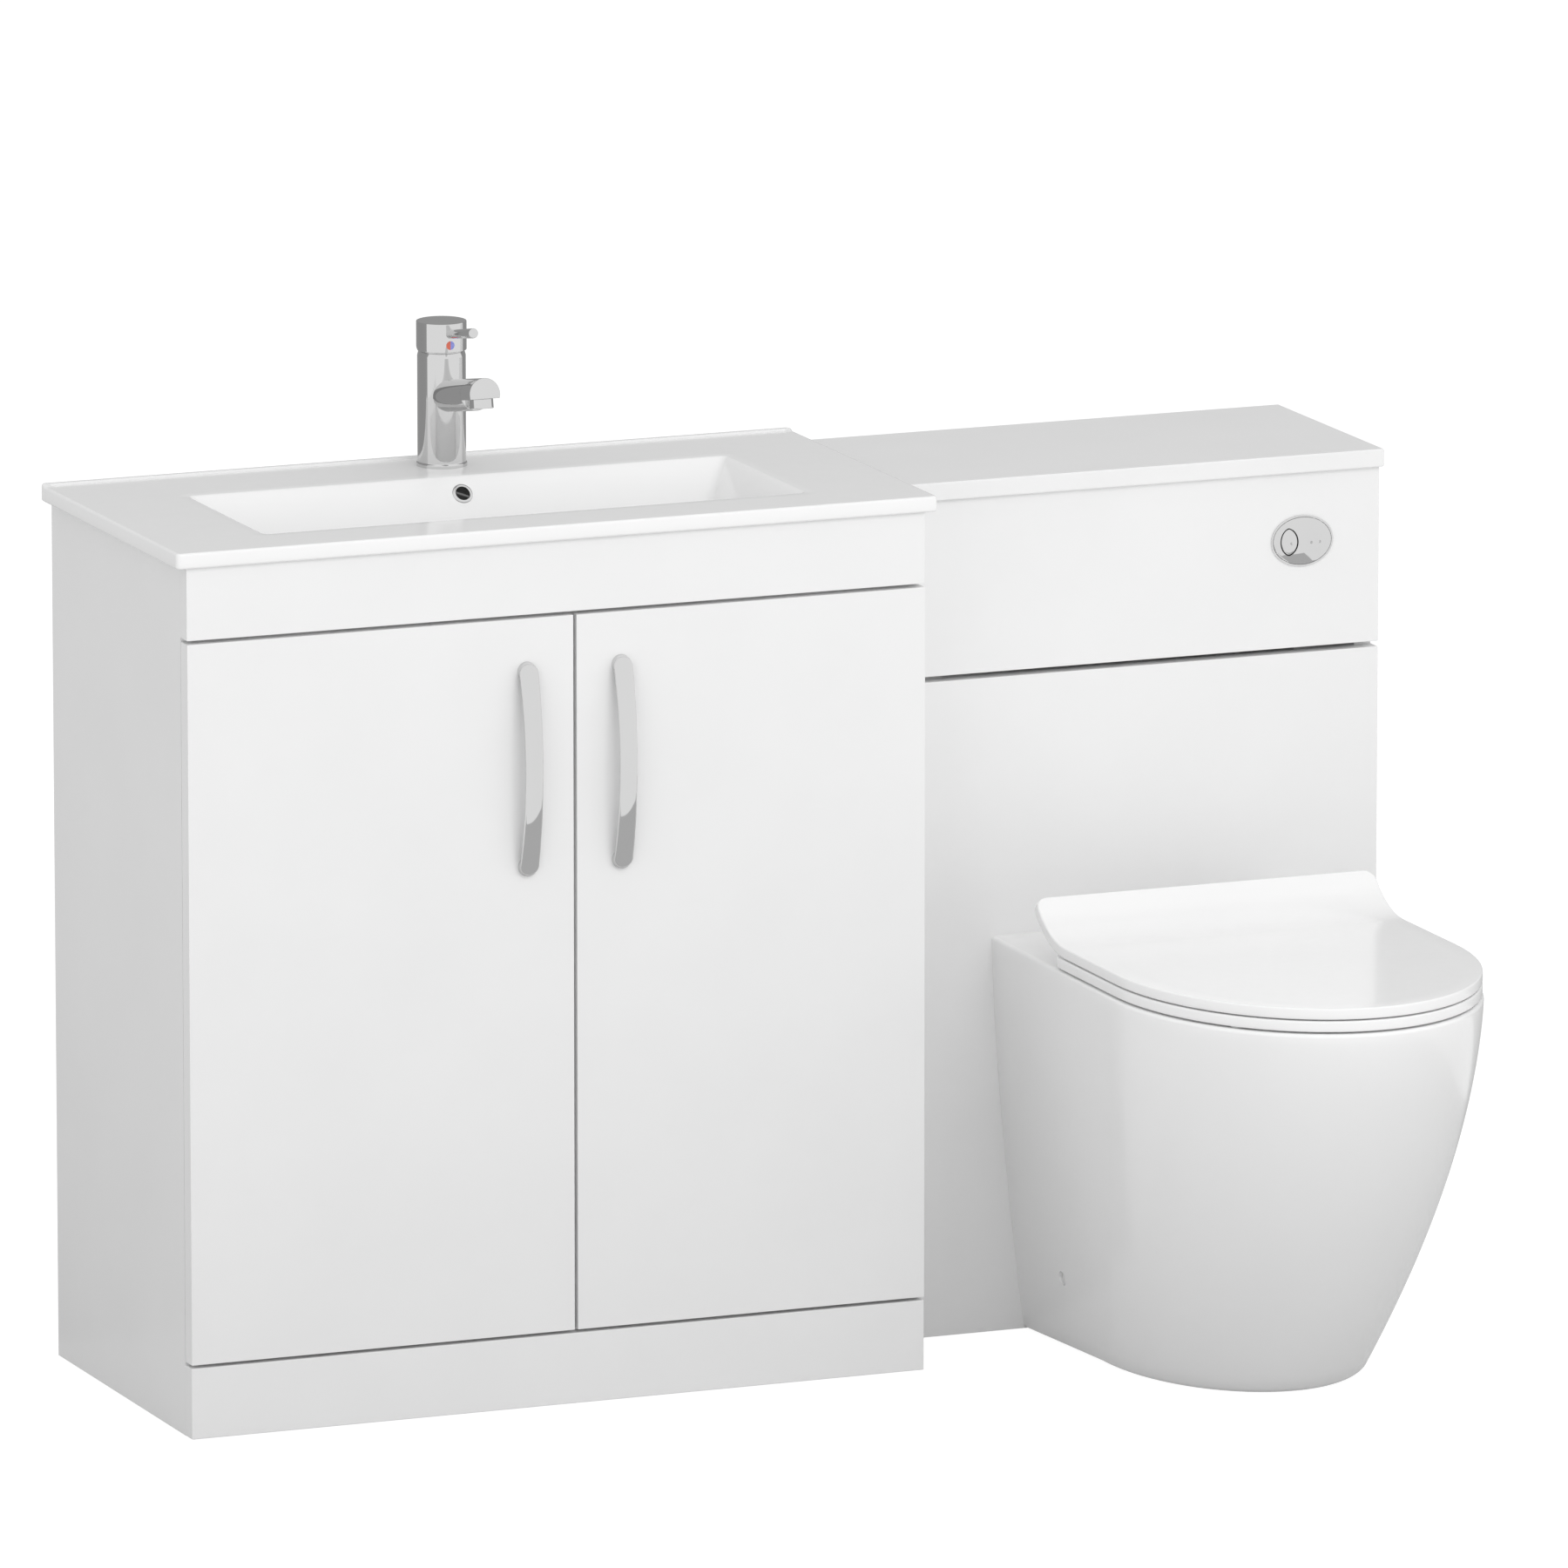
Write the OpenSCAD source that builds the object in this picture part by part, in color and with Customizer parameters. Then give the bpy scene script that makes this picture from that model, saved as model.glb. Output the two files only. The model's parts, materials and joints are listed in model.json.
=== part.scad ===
// Toilet and basin combination unit: a vanity cabinet with a ceramic basin and a mixer tap,
// beside a shallower cabinet that hides the cistern behind a back-to-wall toilet pan.
// Millimetres. While a piece is drawn, x = 0 is the left face of the vanity cabinet, y = 0 is
// the front of its doors with the wall at y = depth, and z = 0 is the floor. Each node is then
// moved so that the origin is the middle of the whole unit's footprint, on the floor.

/* [Cabinets] */
// Width of the vanity cabinet
vanity_w = 763; // [700:1:900]
// Height of the vanity cabinet without its basin
vanity_h = 855; // [840:1:890]
// Depth from the wall to the door fronts
depth = 378; // [370:1:420]
// Width of the WC cabinet
wc_w = 537; // [500:1:620]
// Height of the WC cabinet without its worktop
wc_h = 840; // [835:1:845]
// How far the WC cabinet's front stands behind the doors
wc_setback = 125; // [110:1:135]
// Thickness of the cabinet boards
board = 18; // [15:0.5:19]
// Thickness of the doors and front panels
front_t = 18; // [16:0.5:19]
// Gap between the closed doors and the cabinet's front edges
door_off = 0.8; // [0.7:0.1:1.5]
// Gap between neighbouring fronts of the vanity
front_gap = 3.5; // [3:0.5:4]
// Height of the plinth
plinth_h = 70; // [60:1:90]
// Height of the fixed panel under the basin
fascia_h = 71; // [60:1:80]
// Width of the left door
left_door_w = 396; // [330:1:420]
// Height of the vanity cabinet's back rails
rail_h = 80; // [60:1:100]
// Height of the shelf's underside above the floor
shelf_z = 410; // [300:5:480]
// Depth of the shelf
shelf_d = 280; // [240:5:290]
// Radius of a shelf pin
shelf_pin_r = 2.5; // [2:0.5:3]
// Length of a shelf pin inside its hole, and its reach under the shelf
shelf_pin_l = 9; // [7:0.5:10]

/* [Door fittings] */
// Distance between a handle's two posts
handle_pitch = 192; // [160:1:224]
// Width of the handle strap
handle_w = 19.5; // [16:0.5:24]
// Thickness of the handle strap
handle_t = 5; // [4:0.5:6]
// How far the strap stands out at its ends
handle_end = 9.5; // [8:0.5:12]
// How far the strap stands out at its middle
handle_mid = 23.5; // [20:0.5:30]
// Distance from the left door's free edge to the middle of its handle
handle_inset = 48.5; // [40:0.5:60]
// Distance from the right door's free edge to the middle of its handle
handle_inset_right = 45.5; // [40:0.5:60]
// Height of the handle's middle above the floor
handle_z = 633; // [500:1:660]
// Radius of a hinge cup
cup_r = 17.5; // [15:0.5:18]
// Depth of a hinge cup in the door
cup_depth = 11.5; // [10:0.5:12]
// Distance from the door's hinge edge to the middle of a cup
cup_edge = 23; // [21.5:0.5:26]
// Distance from the door's top and bottom edges to the hinges
hinge_inset = 97; // [80:1:120]

/* [Basin] */
// How far the basin overhangs the vanity at each side
rim_side = 11.5; // [5:0.5:14]
// How far the basin overhangs the doors
rim_front = 5; // [3:0.5:8]
// Thickness of the basin's slab rim
rim_t = 15.5; // [14:0.5:20]
// Height of the raised back edge above the rim
lip_h = 2; // [1:0.5:5]
// Width of the raised back edge
lip_w = 9; // [6:0.5:12]
// Radius of the rim's corners
rim_corner_r = 5; // [3:0.5:10]
// Length of the bowl's opening
bowl_l = 559; // [520:1:600]
// Width of the bowl's opening, front to back
bowl_w = 207; // [195:1:215]
// Width of the flat ledge in front of the bowl
ledge_front = 66; // [62:1:75]
// Depth of the bowl below the rim's top
bowl_depth = 105; // [95:1:115]
// Radius between the bowl's walls and its floor
bowl_round = 28; // [20:1:32]
// How far the bowl's side walls lean in
side_run = 62; // [50:1:75]
// How far the bowl's back wall leans in
back_run = 65; // [55:1:70]
// How far the bowl's front wall leans in
front_run = 25; // [15:1:30]
// Thickness of the ceramic
basin_wall = 9; // [8:0.5:11]
// Radius of the hole for the tap
tap_hole_r = 17.5; // [17:0.5:18]
// Radius of the waste hole
waste_hole_r = 23; // [22:0.5:24]
// Radius of the overflow hole
overflow_r = 8; // [7:0.5:9]
// Depth of the overflow's middle below the rim
overflow_drop = 15.5; // [13:0.5:20]

/* [Tap] */
// How far the tap stands right of the basin's middle
tap_offset = 6.5; // [0:0.5:8]
// Distance from the tap's axis to the wall
tap_to_wall = 49; // [45:0.5:55]
// Radius of the tap's body
tap_r = 23.8; // [22:0.1:25]
// Height of the tap's body above the rim
tap_body_h = 115.1; // [108:0.1:130]
// Radius of the tap's cap
cap_r = 24.7; // [23.5:0.1:26.8]
// Height of the tap's cap
cap_h = 28.4; // [27.9:0.1:36]
// Gap between the body and the cap
cap_gap = 1; // [0.8:0.1:1.5]
// Radius of the spout
spout_r = 15.8; // [14:0.1:17]
// Length of the spout along its axis, from the middle of the tap's body
spout_l = 119.4; // [100:0.1:130]
// Upward slope of the spout, degrees
spout_rise = 10.5; // [0:0.5:15]
// Height above the rim at which the spout's axis meets the middle of the body
spout_z = 68.4; // [50:0.1:72]
// Length of the notch under the spout's nose
nose_l = 25; // [24.5:0.5:34]
// Radius of the aerator
aerator_r = 11.9; // [11:0.1:12]
// Length of the pin lever outside the cap
lever_l = 63.2; // [45:0.1:70]
// Upward slope of the pin lever at rest, degrees
lever_rise = 10.3; // [0:0.1:15]
// Largest lift of the lever, degrees
lever_lift = 22; // [15:1:24]
// Radius of the two inlet holes under the tap
inlet_r = 4.5; // [4:0.1:5]

/* [Waste and trap] */
// Radius of the waste's threaded tube
waste_r = 22.4; // [21:0.1:22.9]
// Radius of the waste's flange
waste_flange_r = 32; // [30:0.5:34]
// Lift of the plug
plug_lift = 8; // [6:0.5:10]
// Radius of the trap's cup
trap_r = 31; // [28:0.5:36]
// Radius of the hole for the waste pipe
trap_outlet_r = 16.1; // [15:0.1:17]

/* [Worktop and panels] */
// Thickness of the worktop
worktop_t = 18; // [16:0.5:22]
// Overhang of the worktop at the right
top_side = 3; // [1:0.5:8]
// Overhang of the worktop in front of the panels
top_front = 6; // [3:0.5:10]
// Joint between the basin and the worktop
top_joint = 1; // [0.5:0.5:3]
// Height of the lower panel
lower_panel_h = 658.5; // [640:0.5:670]
// Gap between the lower and upper panels
panel_gap = 5.5; // [3:0.5:8]

/* [Flush button] */
// Distance from the WC cabinet's right side to the button's middle
button_inset = 83; // [75:0.5:110]
// Height of the button's middle above the floor
button_z = 771; // [760:0.5:774]
// Half width of the oval button
button_a = 31.2; // [29:0.1:33]
// Half height of the oval button
button_b = 23.7; // [22:0.1:24.5]
// How far the button stands out of the panel
button_proud = 6; // [5.5:0.1:8]
// Travel of the two buttons
button_travel = 5; // [4:0.1:5]
// Half width of the small lens-shaped button
lens_a = 9.2; // [8.5:0.1:9.6]
// Half height of the small lens-shaped button
lens_b = 14; // [12.5:0.1:14.5]

/* [Cistern] */
// Width of the cistern tank
tank_w = 380; // [340:1:400]
// Depth of the cistern tank
tank_d = 140; // [130:1:145]
// Height of the cistern tank
tank_h = 310; // [300:1:311]
// Height of the shelf that carries the tank
tank_z = 480; // [470:1:481]
// Wall of the cistern tank
tank_wall = 4; // [3:0.5:5]
// Radius of the flush valve's tower
tower_r = 34; // [31:0.5:36]
// Lift of the flush valve's seal
valve_lift = 20; // [15:1:24]
// Travel of the float
float_travel = 60; // [40:1:65]
// Radius of the inlet thread on the fill valve
fill_r = 10.48; // [9:0.01:12]
// Radius of the flush pipe
flush_pipe_r = 22; // [20:0.5:23]
// Bend radius of the flush pipe
flush_bend = 60; // [45:1:65]

/* [Pan] */
// How far the pan's middle stands right of the WC cabinet's middle
pan_offset = 34.5; // [0:0.5:40]
// Height of the pan
pan_h = 399; // [390:1:405]
// Length of the pan's top, from the panel
pan_l = 545.5; // [520:0.5:560]
// Length of the pan's foot, from the panel
foot_l = 346; // [330:1:360]
// Half width of the pan's top
pan_a = 182.5; // [175:0.5:185]
// Half width of the pan's top at the panel
pan_rear_a = 179.5; // [175:0.5:185]
// Half width of the foot at its shoulders
foot_a = 129.5; // [125:0.5:135]
// Half width of the foot at the panel
foot_rear_a = 144; // [136:0.5:146]
// Distance from the panel to the shoulders of the pan's top
top_shoulder = 309; // [290:1:325]
// Distance from the panel to the shoulders of the foot
foot_shoulder = 159; // [145:1:175]
// Thickness of the pan's skirt
pan_wall = 14; // [12:0.5:16]
// Thickness of the pan's rear deck
deck_t = 26; // [22:1:30]
// Half width of the bowl's opening
pan_bowl_a = 132; // [120:1:136]
// Length of the bowl's opening
pan_bowl_l = 318; // [290:1:325]
// Distance from the pan's front to the bowl's opening
pan_lip = 46; // [42:1:60]
// Height of the soil outlet's axis
outlet_z = 180; // [175:1:190]
// Radius of the pan's outlet spigot
spigot_r = 51; // [49:0.5:52]
// Radius of the soil connector
soil_r = 55; // [54.5:0.5:57]
// Height of the flush inlet's axis
inlet_z = 333; // [325:1:338]

/* [Seat] */
// Gap between the pan and the seat
seat_gap = 2; // [1.5:0.1:3]
// Thickness of the seat
seat_t = 10.7; // [9:0.1:13]
// Gap between the seat and the lid
lid_gap = 1.5; // [1:0.1:2]
// Thickness of the lid
lid_t = 11; // [9:0.1:13]
// Half width of the seat and lid
seat_a = 181; // [172:0.5:183]
// Distance from the panel to the lid's turned-up rear edge
lid_rear = 126; // [120:1:135]
// Radius of the lid's turned-up rear
curl_r = 90; // [80:1:100]
// Angle that the lid's rear turns up, degrees
curl_angle = 55; // [45:1:60]
// Distance from the panel to the hinge axis
hinge_y = 113; // [106:1:118]
// Height of the hinge axis above the pan
hinge_h = 17; // [15:0.5:20]
// Distance between the two hinge posts
hinge_pitch = 155; // [145:1:170]

/* [Hidden] */
$fn = 64;

// Clearances
run = 0.05;        // radial clearance of a running fit
slack = 0.5;       // loose clearance round a fixed piece
rest_gap = 0.3;    // gap where a moving piece comes to rest
over = 1;          // how far a cutting shape passes the face it cuts

// Colours
white_board = [0.93, 0.93, 0.93];
ceramic = [0.96, 0.96, 0.95];
white_plastic = [0.90, 0.91, 0.91];
chrome = [0.72, 0.73, 0.75];
brass = [0.78, 0.66, 0.36];
grey_plastic = [0.42, 0.44, 0.46];
steel = [0.62, 0.63, 0.65];

// Places along x
unit_w = vanity_w + wc_w;
wc_x0 = vanity_w;
wc_in0 = wc_x0 + board;
wc_in1 = unit_w - board;
basin_x0 = -rim_side;
basin_x1 = vanity_w + rim_side;
bowl_x = vanity_w / 2;
tap_x = bowl_x + tap_offset;
top_x1 = unit_w + top_side;
pan_x = wc_x0 + wc_w / 2 + pan_offset;
button_x = unit_w - button_inset;

// Places along y
body_y = front_t + door_off;               // front edges of the vanity's boards
panel_y = wc_setback;                      // front of the WC panels
wc_y = panel_y + front_t;                  // front edges of the WC cabinet's boards
tap_y = depth - tap_to_wall;
bowl_y0 = ledge_front - rim_front;
bowl_y1 = bowl_y0 + bowl_w;
pan_front = panel_y - pan_l;
hinge_axis_y = panel_y - hinge_y;

// Places along z
door_z0 = plinth_h + front_gap;
fascia_z = vanity_h - fascia_h;
door_z1 = fascia_z - front_gap;
rim_z = vanity_h + rim_t;                  // top of the basin's rim
floor_z = rim_z - bowl_depth;              // bottom of the bowl
hinge_z = pan_h + hinge_h;
seat_z = pan_h + seat_gap;
lid_z = seat_z + seat_t + lid_gap;

// Middle of the footprint
mid_x = (basin_x0 + top_x1) / 2;
mid_y = (pan_front + depth) / 2;

// ---------------------------------------------------------------- helpers

module placed() translate([-mid_x, -mid_y, 0]) children();

module box(low, high) translate(low) cube(high - low);

module rod_x(x0, x1, y, z, r) translate([x0, y, z]) rotate([0, 90, 0]) cylinder(r = r, h = x1 - x0);

module rod_y(x, y0, y1, z, r) translate([x, y0, z]) rotate([-90, 0, 0]) cylinder(r = r, h = y1 - y0);

module rod_z(x, y, z0, z1, r) translate([x, y, z0]) cylinder(r = r, h = z1 - z0);

// A profile drawn as [y, z] points, extruded along x
module across(x0, x1) translate([x0, 0, 0]) rotate([90, 0, 90]) linear_extrude(x1 - x0) children();

// A profile drawn as [x, z] points, extruded along y
module along(y0, y1) translate([0, y1, 0]) rotate([90, 0, 0]) linear_extrude(y1 - y0) children();

module rounded_box(low, high, r) {
    box([low.x + r, low.y, low.z], [high.x - r, high.y, high.z]);
    box([low.x, low.y + r, low.z], [high.x, high.y - r, high.z]);
    for (x = [low.x + r, high.x - r], y = [low.y + r, high.y - r]) rod_z(x, y, low.z, high.z, r);
}

function ellipse(a, b, n = 48) = [for (i = [0:n - 1]) [a * cos(360 * i / n), b * sin(360 * i / n)]];

// Solid through a stack of rings, each with the same number of points, counter-clockwise from above
module loft(rings) {
    n = len(rings[0]);
    m = len(rings);
    sides = [for (k = [0:m - 2], i = [0:n - 1])
        let (a = k * n + i, b = k * n + (i + 1) % n)
        each [[a, a + n, b + n], [a, b + n, b]]];
    polyhedron(
        points = [for (ring = rings, p = ring) p],
        faces = concat(sides, [[for (i = [0:n - 1]) i]], [[for (i = [n - 1:-1:0]) (m - 1) * n + i]]),
        convexity = 6);
}

// ---------------------------------------------------------------- vanity cabinet

shelf_y0 = body_y + 42;
pin_inset = 40;
pin_ys = [shelf_y0 + pin_inset, shelf_y0 + shelf_d - pin_inset];

module vanity_side(x0, inner_x, reach) color(white_board) placed() difference() {
    box([x0, body_y, 0], [x0 + board, depth, vanity_h]);
    for (y = pin_ys)
        rod_x(min(inner_x, inner_x - reach * shelf_pin_l), max(inner_x, inner_x - reach * shelf_pin_l),
              y, shelf_z - shelf_pin_r - shelf_tongue, shelf_pin_r + run);
}

shelf_tongue = 2;      // flat of a shelf pin, on which the shelf lies

module vanity_side_left() vanity_side(0, board, 1);

module vanity_side_right() vanity_side(vanity_w - board, vanity_w - board, -1);

module vanity_base() color(white_board) placed()
    box([board, body_y, plinth_h], [vanity_w - board, depth, plinth_h + board]);

module vanity_front_rail() color(white_board) placed()
    box([board, body_y, fascia_z], [vanity_w - board, body_y + board, vanity_h]);

wall_screw_r = 3;
vanity_screw_pitch = 560;

module vanity_back_rails() color(white_board) placed() {
    difference() {
        box([board, depth - board, vanity_h - rail_h], [vanity_w - board, depth, vanity_h]);
        for (x = [-1, 1] * vanity_screw_pitch / 2)
            rod_y(bowl_x + x, depth - board - over, depth + over, vanity_h - rail_h / 2, wall_screw_r);
    }
    box([board, depth - board, plinth_h + board], [vanity_w - board, depth, plinth_h + board + rail_h]);
}

module vanity_shelf() color(white_board) placed()
    box([board + slack, shelf_y0, shelf_z], [vanity_w - board - slack, shelf_y0 + shelf_d, shelf_z + board]);

module shelf_pin(face_x, way) {
    pin_z = shelf_z - shelf_tongue - shelf_pin_r;
    tip = face_x - way * shelf_pin_l;
    end = face_x + way * shelf_pin_l;
    for (y = pin_ys) {
        rod_x(min(tip, face_x), max(tip, face_x), y, pin_z, shelf_pin_r);
        box([min(face_x, end), y - shelf_pin_r, pin_z - shelf_pin_r],
            [max(face_x, end), y + shelf_pin_r, shelf_z]);
    }
}

module shelf_pins() color(steel) placed() {
    shelf_pin(board, 1);
    shelf_pin(vanity_w - board, -1);
}

module fascia() color(white_board) placed()
    box([0, door_off, fascia_z], [vanity_w, body_y, vanity_h]);

module plinth() color(white_board) placed()
    box([0, door_off, 0], [vanity_w, body_y, plinth_h]);

hinge_zs = [door_z0 + hinge_inset, door_z1 - hinge_inset];

module door(x0, x1, cup_x) color(white_board) placed() difference() {
    box([x0, 0, door_z0], [x1, front_t, door_z1]);
    for (z = hinge_zs) rod_y(cup_x, front_t - cup_depth, front_t + over, z, cup_r);
}

module door_left() door(0, left_door_w, cup_edge);

module door_right() door(left_door_w + front_gap, vanity_w, vanity_w - cup_edge);

// Concealed hinge: the cup is pressed into the door, the arm and its plate sit on the side panel
cup_flange = door_off - rest_gap;      // thin flange between the door and the side panel's edge
cup_wall = 1.5;
cup_flange_w = 11;
cup_flange_h = 26;

module hinge_cup(x, z) difference() {
    union() {
        rod_y(x, front_t - cup_depth, front_t, z, cup_r);
        box([x - cup_flange_w, front_t, z - cup_flange_h], [x + cup_flange_w, front_t + cup_flange,
            z + cup_flange_h]);
        rod_y(x, front_t, front_t + cup_flange, z, cup_r);
    }
    rod_y(x, front_t - cup_depth + cup_wall, front_t + over, z, cup_r - cup_wall);
}

module hinge_cups_left() color(steel) placed() for (z = hinge_zs) hinge_cup(cup_edge, z);

module hinge_cups_right() color(steel) placed() for (z = hinge_zs) hinge_cup(vanity_w - cup_edge, z);

plate_t = 4;
plate_l = 46;
plate_h = 48;
plate_bar = 18;
arm_w = 13;
arm_t = 7;
arm_l = 66;

// Drawn for a left-hand side panel with its inner face at x = 0
module hinge_arm() {
    y0 = body_y + 14;
    box([0, y0, -plate_bar / 2], [plate_t, y0 + plate_l, plate_bar / 2]);
    box([0, y0 + plate_l / 2 - plate_bar / 2, -plate_h / 2], [plate_t, y0 + plate_l / 2 + plate_bar / 2,
        plate_h / 2]);
    along_z(-arm_w / 2, arm_w / 2) polygon([
        [plate_t, y0 + 4], [plate_t, y0 + plate_l], [plate_t + 5, y0 + plate_l + 4],
        [plate_t + arm_t, y0 + plate_l], [plate_t + arm_t + 1, y0 + 8],
        [plate_t + arm_t - 1, body_y + 1], [1, body_y + 1], [1, y0 - 4]]);
}

module along_z(z0, z1) translate([0, 0, z0]) linear_extrude(z1 - z0) children();

module hinge_arms() color(steel) placed() for (z = hinge_zs) {
    translate([board, 0, z]) hinge_arm();
    translate([vanity_w - board, 0, z]) mirror([1, 0, 0]) hinge_arm();
}

// Bow handle: a strap cut from a large ring, on a round post at each end
handle_l = handle_pitch + handle_w;
bow_rise = handle_mid - handle_end;
bow_r = (pow(handle_pitch / 2, 2) + pow(bow_rise, 2)) / (2 * bow_rise);
post_r = handle_w / 2 - 0.5;

module handle(x) color(chrome) placed() translate([x, 0, handle_z]) {
    centre_y = bow_r - handle_mid;
    intersection() {
        union() {
            for (z = [-1, 1] * handle_pitch / 2) rod_y(0, -handle_mid - over, 0, z, handle_w / 2);
            box([-handle_w / 2, -handle_mid - over, -handle_pitch / 2], [handle_w / 2, 0, handle_pitch / 2]);
        }
        difference() {
            rod_x(-handle_w, handle_w, centre_y, 0, bow_r);
            rod_x(-handle_w - over, handle_w + over, centre_y, 0, bow_r - handle_t);
        }
    }
    intersection() {
        for (z = [-1, 1] * handle_pitch / 2) rod_y(0, -handle_mid, 0, z, post_r);
        rod_x(-handle_w, handle_w, centre_y, 0, bow_r - handle_t / 2);
    }
}

handle_left_x = left_door_w - handle_inset;
handle_right_x = left_door_w + front_gap + handle_inset_right;

module handle_left() handle(handle_left_x);

module handle_right() handle(handle_right_x);

// ---------------------------------------------------------------- basin

bowl_x0 = bowl_x - bowl_l / 2;
bowl_x1 = bowl_x + bowl_l / 2;
bowl_corner_r = 6;
ball_z = floor_z + bowl_round;
ball_y0 = bowl_y0 + front_run + bowl_round;
ball_y1 = bowl_y1 - back_run - bowl_round;
waste_y = (ball_y0 + ball_y1) / 2;

// Slope of the bowl's back wall from the vertical
wall_run = back_run + bowl_round;
wall_drop = bowl_depth - bowl_round;
wall_angle = atan2(wall_run, wall_drop) - asin(bowl_round / norm([wall_run, wall_drop]));
wall_out = [cos(wall_angle), -sin(wall_angle)];      // outward from the wall, as [y, z]
overflow_y = bowl_y1 - overflow_drop * tan(wall_angle);
overflow_z = rim_z - overflow_drop;

module bowl_form(grow, top_z) hull() {
    for (x = [bowl_x0 + bowl_corner_r, bowl_x1 - bowl_corner_r],
         y = [bowl_y0 + bowl_corner_r, bowl_y1 - bowl_corner_r])
        translate([x, y, top_z]) cylinder(r = bowl_corner_r + grow, h = 0.1, $fn = 24);
    for (x = [bowl_x0 + side_run + bowl_round, bowl_x1 - side_run - bowl_round], y = [ball_y0, ball_y1])
        translate([x, y, ball_z]) sphere(r = bowl_round + grow, $fn = 32);
}

// Overflow duct behind the bowl, down to a chamber round the waste
duct_gap = 10;
duct_skin = 6;
duct_w = 26;
chamber_r = 31;
chamber_h = 10;
boss_r = chamber_r + duct_skin;
boss_z = floor_z - basin_wall - chamber_h - duct_skin;
chamber_z = boss_z + duct_skin;

function on_wall(out, down) =
    [bowl_y1, rim_z] + out * wall_out + down * [-sin(wall_angle), -cos(wall_angle)];

function at_ball(out) = [ball_y1, ball_z] + (bowl_round + out) * wall_out;

module duct_form(inner, outer, half_w, low_z, high_z, start) across(bowl_x - half_w, bowl_x + half_w)
    polygon([on_wall(inner, start), on_wall(outer, start), at_ball(outer),
             [waste_y + chamber_r - 2, low_z], [waste_y + chamber_r - 2, high_z], at_ball(inner)]);

waste_recess = 2.5;

module basin() color(ceramic) placed() difference() {
    union() {
        rounded_box([basin_x0, -rim_front, vanity_h], [basin_x1, depth, rim_z], rim_corner_r);
        box([basin_x0 + rim_corner_r, depth - lip_w, rim_z - over], [basin_x1 - rim_corner_r, depth,
            rim_z + lip_h]);
        bowl_form(basin_wall, vanity_h);
        duct_form(basin_wall - over, basin_wall + duct_gap + duct_skin, duct_w / 2 + duct_skin,
                  boss_z, chamber_z + chamber_h + over, 4);
        rod_z(bowl_x, waste_y, boss_z, floor_z - over, boss_r);
    }
    bowl_form(0, rim_z);
    duct_form(basin_wall, basin_wall + duct_gap, duct_w / 2, chamber_z, chamber_z + chamber_h, 8);
    rod_z(bowl_x, waste_y, chamber_z, chamber_z + chamber_h, chamber_r);
    rod_z(bowl_x, waste_y, boss_z - over, floor_z + over, waste_hole_r);
    rod_z(bowl_x, waste_y, floor_z - waste_recess, floor_z + over, waste_flange_r + slack);
    rod_z(tap_x, tap_y, vanity_h - over, rim_z + over, tap_hole_r);
    translate([bowl_x, overflow_y, overflow_z]) rotate([-90 - wall_angle, 0, 0])
        translate([0, 0, -bowl_round]) cylinder(r = overflow_r, h = bowl_round + basin_wall + duct_gap / 2);
}

ring_flange_r = overflow_r + 2.9;
ring_t = 1.6;
ring_wall = 1.2;
ring_seat = 0.2;       // bedding between the ring's flange and the wall

module overflow_ring() color(chrome) placed()
    translate([bowl_x, overflow_y, overflow_z]) rotate([-90 - wall_angle, 0, 0]) difference() {
        union() {
            translate([0, 0, -ring_t - ring_seat]) cylinder(r = ring_flange_r, h = ring_t);
            translate([0, 0, -ring_seat - ring_t / 2]) cylinder(r = overflow_r - run, h = basin_wall);
        }
        translate([0, 0, -ring_t - over]) cylinder(r = overflow_r - ring_wall, h = basin_wall + 2 * over);
    }

// ---------------------------------------------------------------- waste and trap

waste_wall = 3;
waste_z0 = boss_z - 46;
nut_h = 12;
hub_r = 8;
hub_h = 18;
stem_r = 4;
slot_w = 16;
arm_bar = 4;
plug_r = waste_flange_r - 4;
plug_t = 4.5;
flange_z = floor_z - waste_recess;
plug_z = floor_z + rest_gap;

module waste_body() color(chrome) placed() translate([bowl_x, waste_y, 0]) {
    difference() {
        union() {
            translate([0, 0, flange_z]) cylinder(r = waste_flange_r, h = waste_recess);
            rod_z(0, 0, waste_z0, floor_z, waste_r);
        }
        rod_z(0, 0, waste_z0 - over, floor_z + over, waste_r - waste_wall);
        for (turn = [0, 90]) rotate(turn)
            box([-slot_w / 2, -waste_r - over, chamber_z + 1], [slot_w / 2, waste_r + over,
                chamber_z + chamber_h - 1]);
    }
    difference() {
        union() {
            rod_z(0, 0, boss_z - hub_h, boss_z, hub_r);
            for (turn = [0, 90]) rotate(turn)
                box([-waste_r + waste_wall - 1, -arm_bar / 2, boss_z - hub_h], [waste_r - waste_wall + 1,
                    arm_bar / 2, boss_z - 6]);
        }
        rod_z(0, 0, boss_z - hub_h - over, boss_z + over, stem_r + run);
    }
}

module waste_plug() color(chrome) placed() translate([bowl_x, waste_y, 0]) {
    translate([0, 0, plug_z]) rotate_extrude() polygon([
        [0, 0], [plug_r - 1, 0], [plug_r, 1], [plug_r, 2.5], [plug_r - 3, 3.6], [plug_r * 0.6,
            plug_t - 0.2], [0, plug_t]]);
    rod_z(0, 0, boss_z - hub_h + 2, plug_z, stem_r);
}

trap_z1 = waste_z0 + 20;          // top of the trap's inlet nut
trap_neck_l = 40;
trap_cup_l = 56;
trap_arm_l = 62;
trap_head_z = waste_z0 - trap_neck_l;
trap_cup_z = trap_head_z - trap_cup_l;
outlet_y1 = waste_y + trap_r + trap_arm_l;
nut_wall = 7;
seal_h = 3;
outlet_nut_in = 14;
outlet_nut_out = 8;

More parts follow.
